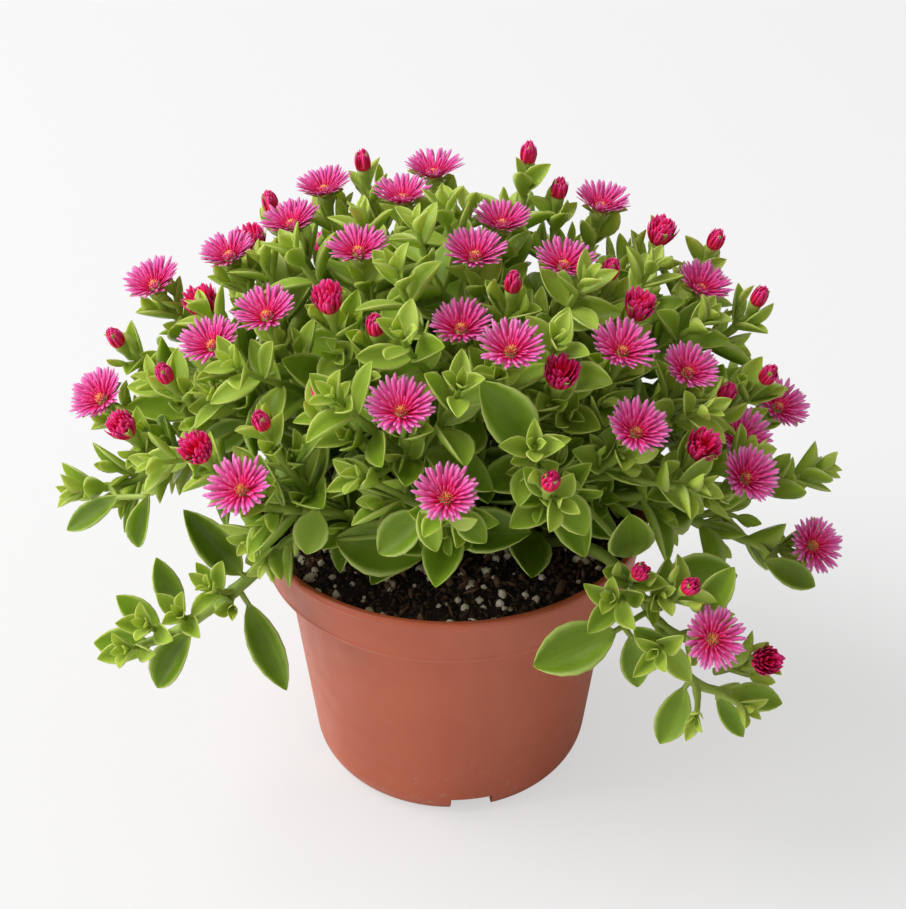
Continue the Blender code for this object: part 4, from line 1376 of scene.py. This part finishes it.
print("each side shoot may have", len(TIP_PAIRS), "pairs of leaves")

# %% Grow them from the tips inwards
for number, line in enumerate(twigs):
    grow_pairs(line, number, SPRIG_PAIRS)
for number, line in enumerate(fillers):
    grow_pairs(line, number, TIP_PAIRS)
for shoot in TRAILING:
    grow_pairs((shoot, f"{shoot}_0", plant.stems[shoot][0][0]), 1, END_PAIRS)
for number, line in enumerate(lines):
    if ending_of(line) == "leaves":
        grow_pairs(line, number, END_PAIRS)
for order, (distance, _, _) in enumerate(PAIRS):
    for number, (shoot, key, path) in enumerate(lines):
        if path_length(path) - distance * MM > BARE_FOOT:
            point, along, side = node_direction(path, distance * MM, order, PAIR_TURN * number)
            for reach in (side, -side):
                grow_axil(shoot, key, point, along, reach, 0.1 + 0.1 * order)
for number, line in enumerate(lines + fillers):
    grow_pairs(line, number, OLD_PAIRS)
print("leaves", sum(map(len, plant.leaves.values())), "stalks and stems", sum(map(len, plant.stems.values())))

# %% Each leaf's own habit
rng = random.Random(7)
YOUNG_AGE = 0.4
for leaves in plant.leaves.values():
    for leaf in leaves:
        leaf.bend = rng.uniform(-0.10, 0.16)
        leaf.fold = rng.uniform(0.10, 0.42)
        leaf.sway = rng.uniform(-0.07, 0.07)
        leaf.tint = rng.random()
        if leaf.age < YOUNG_AGE:
            leaf.breadth *= rng.uniform(0.80, 0.98)
print("young leaves", sum(leaf.age < YOUNG_AGE for leaves in plant.leaves.values() for leaf in leaves))

# %% [markdown]
# ## Sepals and cups
# An ice plant's flower sits in a fleshy green cup on a thick stalk, with five leaf-like sepals, two of them
# longer. Round an open head they spread under the petals; round a bud they close over it.

# %% Add the sepals as leaves
# For each kind: the cup's lip, as a height and a radius, then a sepal's length, in mm, and its spread
SEPALS = {"flower": (3.6, 2.6, 5.2, 58.0), "tuft": (3.2, 2.3, 5.6, 24.0), "bud": (0.8, 1.5, 6.2, 5.0)}
SEPAL_COUNT = 5
LONG_SEPALS = (0, 2)
SEPAL_TURN = 1.3


def sepals(tip, facing, kind, number):
    """The sepals round one head, from the cup's lip."""
    height, radius, length, opening = SEPALS[kind]
    side = facing.orthogonal().normalized()
    made = []
    for index in range(SEPAL_COUNT):
        reach = Quaternion(facing, number * SEPAL_TURN + math.tau * index / SEPAL_COUNT) @ side
        along, face = opened(facing, reach, opening)
        base = tip + facing * (height * MM) + reach * (radius * MM)
        size = length * (1.25 if index in LONG_SEPALS else 0.85) * MM
        made.append(Leaf(base, along, face, size, age=0.2, breadth=0.8, bend=-0.08 if kind == "bud" else 0.05,
                         fold=0.35, tint=rng.random()))
    return made


number = 0
for shoot, stems in plant.stems.items():
    for path, _, ending, facing in stems:
        if ending in SEPALS:
            plant.leaves[shoot] += sepals(path[-1], facing, ending, number)
            number += 1
print("sepals round", number, "heads")

# %% [markdown]
# ## Stems as tubes along their paths
# A stem follows a path, so Geometry Nodes turn a mesh of lines into curves and sweep a circle along them. The
# radius comes from each point: it tapers, swells at the leaf nodes, and flares into the cup under a flower.

# %% Stem tree
# The cup under each kind of head, as (height past the stem's end, radius) in mm
CUPS = {
    "flower": [(-5.0, 1.3), (-2.0, 1.55), (0.0, 1.9), (1.2, 2.6), (2.4, 3.0), (3.4, 3.0), (4.1, 2.3),
               (4.3, 0.9)],
    "tuft": [(-5.0, 1.2), (-2.0, 1.4), (0.0, 1.8), (1.2, 2.3), (2.4, 2.5), (3.2, 2.2), (3.6, 1.0)],
    "bud": [(-4.0, 1.1), (-1.5, 1.3), (0.0, 1.7), (1.0, 2.0), (2.2, 2.1), (3.0, 1.8), (3.4, 0.6)],
}


def stem_tree():
    """Sweep a circle along every line of a mesh, with the radius of each point."""
    recipe, given = new_tree("sweep stems", [("Sides", "Int"), ("Finish", "Material")])
    curves = recipe.add("GeometryNodeMeshToCurve", given["Geometry"])
    radius = recipe.add("GeometryNodeInputNamedAttribute", named={"Name": "radius"}, data_type="FLOAT")
    circle = recipe.add("GeometryNodeCurvePrimitiveCircle", named={
        "Resolution": given["Sides"], "Radius": 1.0})
    tubes = recipe.add("GeometryNodeCurveToMesh", named={
        "Curve": curves, "Profile Curve": circle, "Scale": radius, "Fill Caps": True})
    return finish_tree(recipe, tubes, given["Finish"])


STEM_SWEEP = stem_tree()
print("stem tree made")


# %% Points along a stem
STEM_STEP = 2.2 * MM
NODE_SWELL = 0.35 * MM
NODE_LENGTH = 1.5 * MM
OLD_STEM = 110.0 * MM


def smooth_path(path, step):
    """Points a small step apart on a smooth curve through a path's points."""
    padded = [2.0 * path[0] - path[1], *path, 2.0 * path[-1] - path[-2]]
    fine = []
    for before, start, end, after in zip(padded, padded[1:], padded[2:], padded[3:]):
        steps = max(2, round((end - start).length / step))
        for index in range(steps):
            share = index / steps
            square, cube = share * share, share ** 3
            fine.append(0.5 * ((2.0 * start) + (end - before) * share
                               + (2.0 * before - 5.0 * start + 4.0 * end - after) * square
                               + (3.0 * start - before - 3.0 * end + after) * cube))
    return fine + [path[-1]]


def stem_points(path, radii, ending, facing):
    """The fine points of one stem, with their radii and ages."""
    fine = smooth_path(path, STEM_STEP)
    total = path_length(fine)
    nodes = [distance * MM for distance, _, _ in PAIRS] if ending != "stalk" else []
    points, widths, ages = [], [], []
    gone = 0.0
    for index, point in enumerate(fine):
        gone += (point - fine[index - 1]).length if index else 0.0
        left = total - gone
        swell = sum(math.exp(-((left - node) / NODE_LENGTH) ** 2) for node in nodes)
        points.append(point)
        widths.append(radii[0] + (radii[1] - radii[0]) * gone / total + NODE_SWELL * swell)
        ages.append(min(1.0, 0.15 + left / OLD_STEM))
    if ending in CUPS:
        first = CUPS[ending][0][0] * MM
        kept = [row for row in zip(points, widths, ages) if (row[0] - path[-1]).dot(facing) < first]
        points, widths, ages = map(list, zip(*kept))
        points += [path[-1] + facing * (height * MM) for height, _ in CUPS[ending]]
        widths += [width * MM for _, width in CUPS[ending]]
        ages += [0.1] * len(CUPS[ending])
    else:
        points.append(path[-1] + facing * (0.8 * MM))
        widths.append(0.3 * MM)
        ages.append(0.05)
    return points, widths, ages


def stems_mesh(stems):
    """All the lines of one shoot as one mesh of edges."""
    points, widths, ages, edges = [], [], [], []
    for path, radii, ending, facing in stems:
        start = len(points)
        fine, width, age = stem_points(path, radii, ending, facing)
        points += fine
        widths += width
        ages += age
        edges += [(index, index + 1) for index in range(start, len(points) - 1)]
    return points_mesh("stem_lines", points, {"radius": widths, "age": ages}, edges)


for shoot, stems in plant.stems.items():
    piece = grow(f"{shoot}_stems", stems_mesh(stems), STEM_SWEEP, {"Sides": 9, "Finish": STEM})
    settle(piece)
    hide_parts(shoot)
print("stems swept for", len(plant.stems), "shoots")

# %% [markdown]
# ## Leaves as instances of one blade
# One blade of ninety faces stands for every leaf. It is a closed, fleshy solid: a hollow over the midrib with
# thick raised margins, a keel beneath, the widest part at the middle and a pointed tip. Geometry Nodes set it
# on each leaf's point, aim it, and then bend, fold and sway every leaf in its own way.

# %% The blade
BLADE_STATIONS = 9
BLADE_RING = [(1.0, 0.25), (0.86, 1.05), (0.6, 0.45), (0.0, -0.1), (-0.6, 0.45), (-0.86, 1.05), (-1.0, 0.25),
              (-0.6, -0.7), (0.0, -1.1), (0.6, -0.7)]


def blade_width(share):
    """The blade's half width at a share of its length."""
    return 0.5 * BLADE_WIDTH * (4.0 * share * (1.0 - share)) ** 0.88


def blade_lift(share):
    """How thick the blade is at a share of its length."""
    return 0.046 * (math.sin(math.pi * share ** 0.8) ** 0.6 + 0.25 * (1.0 - share))


def closed_ribbon(name, stations, ring, outline, thickness):
    """A closed solid along +X: rings between two poles. Each point knows how far along and across it is."""
    shares = [0.5 - 0.5 * math.cos(math.pi * step / stations) for step in range(1, stations)]
    points, alongs, acrosses = [(0.0, 0.0, 0.0)], [0.0], [0.0]
    for share in shares:
        for across, lift in ring:
            points.append((share, across * outline(share), lift * thickness(share)))
            alongs.append(share)
            acrosses.append(across)
    points.append((1.0, 0.0, 0.0))
    alongs.append(1.0)
    acrosses.append(0.0)
    mesh = closed_mesh(name, points, len(shares), len(ring))
    for label, values in (("along", alongs), ("across", acrosses)):
        mesh.attributes.new(label, "FLOAT", "POINT").data.foreach_set("value", values)
    return bpy.data.objects.new(name, mesh)


blade = closed_ribbon("blade", BLADE_STATIONS, BLADE_RING, blade_width, blade_lift)
print("blade:", len(blade.data.polygons), "faces")

# %% Leaf tree


def named_value(recipe, name, kind="FLOAT"):
    """A named attribute inside a Geometry Nodes tree."""
    return recipe.add("GeometryNodeInputNamedAttribute", named={"Name": name}, data_type=kind)


def shaped(recipe, geometry):
    """Bend, fold and sway blades that have been realized, from the values that each one carries."""
    along, across, length = (named_value(recipe, name) for name in ("along", "across", "length"))
    face, aim = (named_value(recipe, name, "FLOAT_VECTOR") for name in ("face", "aim"))
    side = recipe.vector("CROSS_PRODUCT", face, aim)
    square = recipe.times(along, recipe.math("SUBTRACT", along, 0.35))
    dip = recipe.times(named_value(recipe, "bend"), square, -1.0)
    rest = recipe.math("SUBTRACT", 1.0, along)
    width = recipe.times(recipe.times(across, across), recipe.times(along, rest))
    boat = recipe.times(named_value(recipe, "fold"), width, 2.2)
    lift = recipe.times(recipe.math("ADD", dip, boat), length)
    drift = recipe.times(named_value(recipe, "sway"), square, length)
    offset = recipe.vector("ADD", recipe.scaled(face, lift), recipe.scaled(side, drift))
    return recipe.add("GeometryNodeSetPosition", geometry, named={"Offset": offset})


def set_blades(recipe, points, shape, size):
    """Set a blade on every point, turned by the point's aim and face, and shape each one."""
    blade_shape = recipe.add("GeometryNodeObjectInfo", named={"Object": shape}, give="Geometry")
    turn = recipe.add("FunctionNodeAxesToRotation", primary_axis="X", secondary_axis="Z", named={
        "Primary Axis": named_value(recipe, "aim", "FLOAT_VECTOR"),
        "Secondary Axis": named_value(recipe, "face", "FLOAT_VECTOR")})
    placed = recipe.add("GeometryNodeInstanceOnPoints", points, named={
        "Instance": blade_shape, "Rotation": turn, "Scale": size})
    return shaped(recipe, recipe.add("GeometryNodeRealizeInstances", placed))


def leaf_tree():
    """Set a blade on every point, sized by the point's own values."""
    recipe, given = new_tree("leaves", [("Blade", "Object"), ("Finish", "Material")])
    length = named_value(recipe, "length")
    breadth = recipe.times(length, named_value(recipe, "breadth"))
    size = recipe.add("ShaderNodeCombineXYZ", length, breadth, length)
    points = recipe.add("GeometryNodeMeshToPoints", given["Geometry"])
    return finish_tree(recipe, set_blades(recipe, points, given["Blade"], size), given["Finish"])


LEAF_TREE = leaf_tree()
print("leaf tree made")


# %% Grow the leaves
def leaves_mesh(leaves):
    """One point for each leaf, with its values."""
    columns = {"aim": [leaf.along for leaf in leaves], "face": [leaf.face for leaf in leaves]}
    for label in ("length", "age", "breadth", "bend", "fold", "sway", "tint"):
        columns[label] = [getattr(leaf, label) for leaf in leaves]
    return points_mesh("leaf_points", [leaf.base for leaf in leaves], columns)


leaf_faces = 0
for shoot, leaves in plant.leaves.items():
    piece = grow(f"{shoot}_leaves", leaves_mesh(leaves), LEAF_TREE, {"Blade": blade, "Finish": LEAF})
    settle(piece)
    leaf_faces += len(piece.data.polygons)
print("leaf faces", leaf_faces)

# %% [markdown]
# ## Flower heads
# An open head has 94 linear petals in five rows: the outer ones lie nearly flat, the inner ones rise and are
# shorter. In the middle is a brush of stamens. One tree makes a row of petals round a ring, with small random
# differences, and joins the rows of a head. Stamens and half-open tufts are the same tree with other rows.

# %% Petal and stamen shapes
PETAL_RING = [(1.0, 0.0), (0.0, 0.7), (-1.0, 0.0), (0.0, -0.7)]
STAMEN_RING = [(1.0, 0.0), (-0.5, 0.87), (-0.5, -0.87)]
PETAL_STATIONS = 6
STAMEN_STATIONS = 4


def petal_width(share):
    """A narrow ribbon that widens a little towards a blunt tip."""
    return 0.083 * min(1.0, (1.0 - share) * 5.0) ** 0.5 * (0.74 + 0.36 * share)


def bud_petal_width(share):
    """A broader petal that is still closed over its neighbours."""
    return 0.13 * math.sin(math.pi * share ** 0.9) ** 0.6


def stamen_width(share):
    """A thread that swells where its pollen is."""
    return 0.11 + 0.16 * max(0.0, share - 0.6)


petal = closed_ribbon("petal", PETAL_STATIONS, PETAL_RING, petal_width, lambda share: 0.014)
bud_petal = closed_ribbon("bud_petal", PETAL_STATIONS, PETAL_RING, bud_petal_width, lambda share: 0.02)
stamen = closed_ribbon("stamen", STAMEN_STATIONS, STAMEN_RING, stamen_width, lambda share: 0.11 + 0.1 * share)
print("petal:", len(petal.data.polygons), "faces, stamen:", len(stamen.data.polygons), "faces")

# %% One row of petals
STEEPEST = 1.5


def head_row(recipe, given, count, length, rise, radius, height, inner, curl, seed):
    """One row of petals round the head's axis, realized and shaped."""
    seed = recipe.math("ADD", given["Seed"], float(seed))

    def chance(low, high, offset):
        return recipe.chance(low, high, recipe.math("ADD", seed, float(offset)))

    points = recipe.add("GeometryNodeMeshLine", named={"Count": count, "Offset": (0.0, 0.0, 0.0)})
    index = recipe.add("GeometryNodeInputIndex")
    angle = recipe.times(recipe.math("ADD", index, chance(-0.28, 0.28, 1)), math.tau / count)
    angle = recipe.math("ADD", angle, seed)
    outward = recipe.add("ShaderNodeCombineXYZ", recipe.math("COSINE", angle), recipe.math("SINE", angle))
    lean = recipe.math("ADD", recipe.math("ADD", given["Closing"], rise), chance(-0.06, 0.06, 2))
    lean = recipe.math("MINIMUM", lean, STEEPEST)
    flat, steep = recipe.math("COSINE", lean), recipe.math("SINE", lean)
    up = tuple(UP)
    aim = recipe.vector("ADD", recipe.scaled(outward, flat), recipe.scaled(up, steep))
    face = recipe.vector("SUBTRACT", recipe.scaled(up, flat), recipe.scaled(outward, steep))
    size = recipe.times(given["Length"], length, chance(0.86, 1.06, 3))
    place = recipe.vector("ADD", recipe.scaled(outward, radius * MM), (0.0, 0.0, height * MM))
    geometry = recipe.add("GeometryNodeSetPosition", points, named={"Position": place})
    geometry = recipe.store(geometry, "aim", aim, "FLOAT_VECTOR")
    geometry = recipe.store(geometry, "face", face, "FLOAT_VECTOR")
    values = {"length": size, "tint": chance(0.0, 1.0, 4), "bend": chance(curl - 0.07, curl + 0.07, 5),
              "sway": chance(-0.10, 0.10, 6), "fold": 0.0, "inner": inner}
    for name, value in values.items():
        geometry = recipe.store(geometry, name, value)
    return set_blades(recipe, geometry, given["Shape"], named_value(recipe, "length"))


print("petals lean at most", round(math.degrees(STEEPEST)), "degrees")


# %% Head trees
def head_tree(name, rows):
    """A head from several rows, moved to its place and turned to face outwards."""
    recipe, given = new_tree(name, [("Shape", "Object"), ("Place", "Vector"), ("Turn", "Rotation"),
                                    ("Length", "Float"), ("Closing", "Float"), ("Seed", "Int"),
                                    ("Finish", "Material")])
    join = recipe.tree.nodes.new("GeometryNodeJoinGeometry")
    for number, row in enumerate(rows):
        recipe.tree.links.new(head_row(recipe, given, *row, seed=10 * number), join.inputs[0])
    moved = recipe.add("GeometryNodeTransform", join.outputs[0], named={
        "Translation": given["Place"], "Rotation": given["Turn"]})
    return finish_tree(recipe, moved, given["Finish"])


# Each row is (petals, length, rise, ring radius, ring height, how dark, curl). The length is a share of the
# head's own, the rise is in radians, and the ring is in mm.
OPEN_ROWS = [(28, 1.0, 0.36, 2.0, 4.2, 0.0, 0.06), (25, 0.95, 0.44, 1.8, 4.4, 0.05, 0.06),
             (16, 0.62, 0.60, 1.5, 4.6, 0.35, 0.06), (15, 0.42, 0.85, 1.1, 4.7, 0.9, 0.06),
             (10, 0.3, 1.1, 0.8, 4.7, 1.3, 0.06)]
TUFT_ROWS = [(21, 1.0, 0.0, 2.1, 2.9, 1.4, -0.35), (19, 1.07, 0.1, 1.6, 3.2, 1.5, -0.25),
             (15, 1.12, 0.22, 1.0, 3.4, 1.5, -0.15), (8, 1.15, 0.35, 0.4, 3.5, 1.6, -0.05)]
STAMEN_ROWS = [(15, 1.0, 0.8, 0.7, 4.8, 0.0, 0.1), (10, 1.1, 1.15, 0.4, 4.9, 0.0, 0.1),
               (6, 1.15, 1.45, 0.15, 4.9, 0.0, 0.1)]
OPEN_TREE = head_tree("open petals", OPEN_ROWS)
TUFT_TREE = head_tree("tuft petals", TUFT_ROWS)
STAMEN_TREE = head_tree("stamens", STAMEN_ROWS)
print("petals", sum(row[0] for row in OPEN_ROWS), "and stamens", sum(row[0] for row in STAMEN_ROWS), "a head")


# %% Grow the open heads
PETAL_LENGTHS = (7.5, 8.1)
STAMEN_LENGTHS = (1.3, 1.5)
CLOSINGS = (0.0, 0.0, 0.04, 0.08)
TOP_FACING = 0.8
TOP_CLOSING = 0.22


def head_settings(tip, facing, number, length, closing, shape, finish):
    """The inputs of one head, with its length in mm and its closing in radians."""
    turn = facing.to_track_quat("Z", "Y").to_euler()
    return {"Shape": shape, "Place": tuple(tip), "Turn": tuple(turn), "Length": length * MM,
            "Closing": closing, "Seed": 100 + 37 * number, "Finish": finish}


def empty_mesh(name):
    return bpy.data.meshes.new(name)


for number, (tip, facing) in enumerate(plant.heads):
    name = f"flower_{number + 1:02d}"
    cupped = TOP_CLOSING if facing.z > TOP_FACING else 0.0
    closing = rng.choice(CLOSINGS) + cupped
    length = rng.uniform(*PETAL_LENGTHS) * (1.0 + 0.4 * cupped)
    petals = grow(f"{name}_petals", empty_mesh(name), OPEN_TREE,
                  head_settings(tip, facing, number, length, closing, petal, PETAL))
    settle(petals)
    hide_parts(name)
    centre = grow(f"{name}_stamens", empty_mesh(name), STAMEN_TREE,
                  head_settings(tip, facing, number, rng.uniform(*STAMEN_LENGTHS), 0.0, stamen, STAMEN))
    settle(centre)

print("open heads", len(plant.heads))

# %% Grow the tufts and buds
TUFT_LENGTH = 7.3
TUFT_CLOSINGS = (0.9, 1.1)
BUD_LENGTH = 5.2
BUD_CLOSING = 1.4
FIRST_ENDING = 50

number = FIRST_ENDING
for shoot, endings in plant.endings.items():
    for tip, facing, kind in endings:
        number += 1
        is_tuft = kind == "tuft"
        length = TUFT_LENGTH if is_tuft else BUD_LENGTH
        closing = rng.uniform(*TUFT_CLOSINGS) if is_tuft else BUD_CLOSING
        tuft = grow(f"{shoot}_tuft_{number}", empty_mesh(shoot), TUFT_TREE,
                    head_settings(tip, facing, number, length, closing, bud_petal, PETAL))
        settle(tuft)
print("tufts and buds", number - FIRST_ENDING)

# %% [markdown]
# ## Floor, light and camera
# The plant stands on a seamless pale floor. A large soft lamp hangs at the upper left, a small one opens the
# shade low at the left, and the sky fills the shadows. Their strengths are chosen so that a colour comes out
# about as it is written.

# %% Floor
FLOOR_SIZE = 40.0
PAPER_GLOW = 0.56
FAR_GLOW = 0.76
GLOW_REACH = (1.0, 3.0)
SEEN_PAPER = (0.32, 0.32, 0.32)


def make_floor():
    """A wide pale floor with the faintest mottle. It glows a little to the camera, to lighten the shadow."""
    bm = bmesh.new()
    bmesh.ops.create_grid(bm, x_segments=8, y_segments=8, size=FLOOR_SIZE)
    mesh = mesh_from(bm, "studio_floor")
    floor = linked("studio_floor", mesh)
    made, recipe, shader = new_finish("studio paper", 0.9, specular_ior_level=0.1)
    seen = made.node_tree.nodes.new("ShaderNodeLightPath").outputs["Is Camera Ray"]
    mottle = noise(recipe, 3.0)
    paper = blend(recipe, mottle, (0.84, 0.84, 0.845, 1.0), (0.86, 0.86, 0.865, 1.0))
    recipe.feed(shader, "Base Color", blend(recipe, seen, paper, (*SEEN_PAPER, 1.0)))
    shader.inputs["Emission Color"].default_value = (1.0, 1.0, 1.0, 1.0)
    where = recipe.add("ShaderNodeTexCoord", give="Object")
    distance = recipe.add("ShaderNodeVectorMath", where, give="Value", operation="LENGTH")
    glow = spread(recipe, distance, *GLOW_REACH, PAPER_GLOW, FAR_GLOW, smooth=True)
    recipe.feed(shader, "Emission Strength", recipe.times(seen, glow))
    mesh.materials.append(made)


make_floor()
print("floor:", 2.0 * FLOOR_SIZE, "m across")

# %% Sky
SKY_STRENGTH = 0.42
BACKDROP_STRENGTH = 0.86


def make_sky(strength, backdrop):
    """An even pale sky, with a plain backdrop where the camera or a reflection sees it."""
    world = bpy.data.worlds.new("studio sky")
    bpy.context.scene.world = world
    world.use_nodes = True
    recipe = Recipe(world.node_tree)
    ray = world.node_tree.nodes.new("ShaderNodeLightPath")
    seen = recipe.math("MAXIMUM", ray.outputs["Is Camera Ray"], ray.outputs["Is Transmission Ray"])
    background = world.node_tree.nodes["Background"]
    recipe.feed(background, "Color", (1.0, 1.0, 1.0, 1.0))
    recipe.feed(background, "Strength", spread(recipe, seen, 0.0, 1.0, strength, backdrop))


make_sky(SKY_STRENGTH, BACKDROP_STRENGTH)
print("sky made")


# %% Lamps
def add_lamp(name, place, target, size, power):
    """A square soft lamp that faces a target."""
    lamp = bpy.data.lights.new(name, "AREA")
    lamp.size = size
    lamp.energy = power
    made = linked(name, lamp)
    made.location = place
    made.rotation_euler = (Vector(place) - Vector(target)).to_track_quat("Z", "Y").to_euler()


add_lamp("soft box", (-1.75, 0.1, 2.1), (0.0, 0.0, 0.1), 2.0, 76.0)
add_lamp("side light", (-1.15, -0.55, 0.4), (0.0, 0.0, 0.08), 0.5, 3.4)
print("lamps made")

# %% Camera
LENS = 83.44
SENSOR_WIDTH = 36.0
CAMERA_PLACE = Vector((0.75 * MM, -515.07 * MM, 463.6 * MM))
CAMERA_PITCH = 34.736
camera_data = bpy.data.cameras.new("camera")
camera_data.sensor_fit = "HORIZONTAL"
camera_data.sensor_width = SENSOR_WIDTH
camera_data.lens = LENS
camera = linked("camera", camera_data)
camera.location = CAMERA_PLACE
camera.rotation_euler = (math.radians(90.0 - CAMERA_PITCH), 0.0, 0.0)
bpy.context.scene.camera = camera
bpy.context.scene.view_settings.view_transform = "Standard"
print("camera", round(CAMERA_PLACE.length, 2), "m away, looking", CAMERA_PITCH, "degrees down")
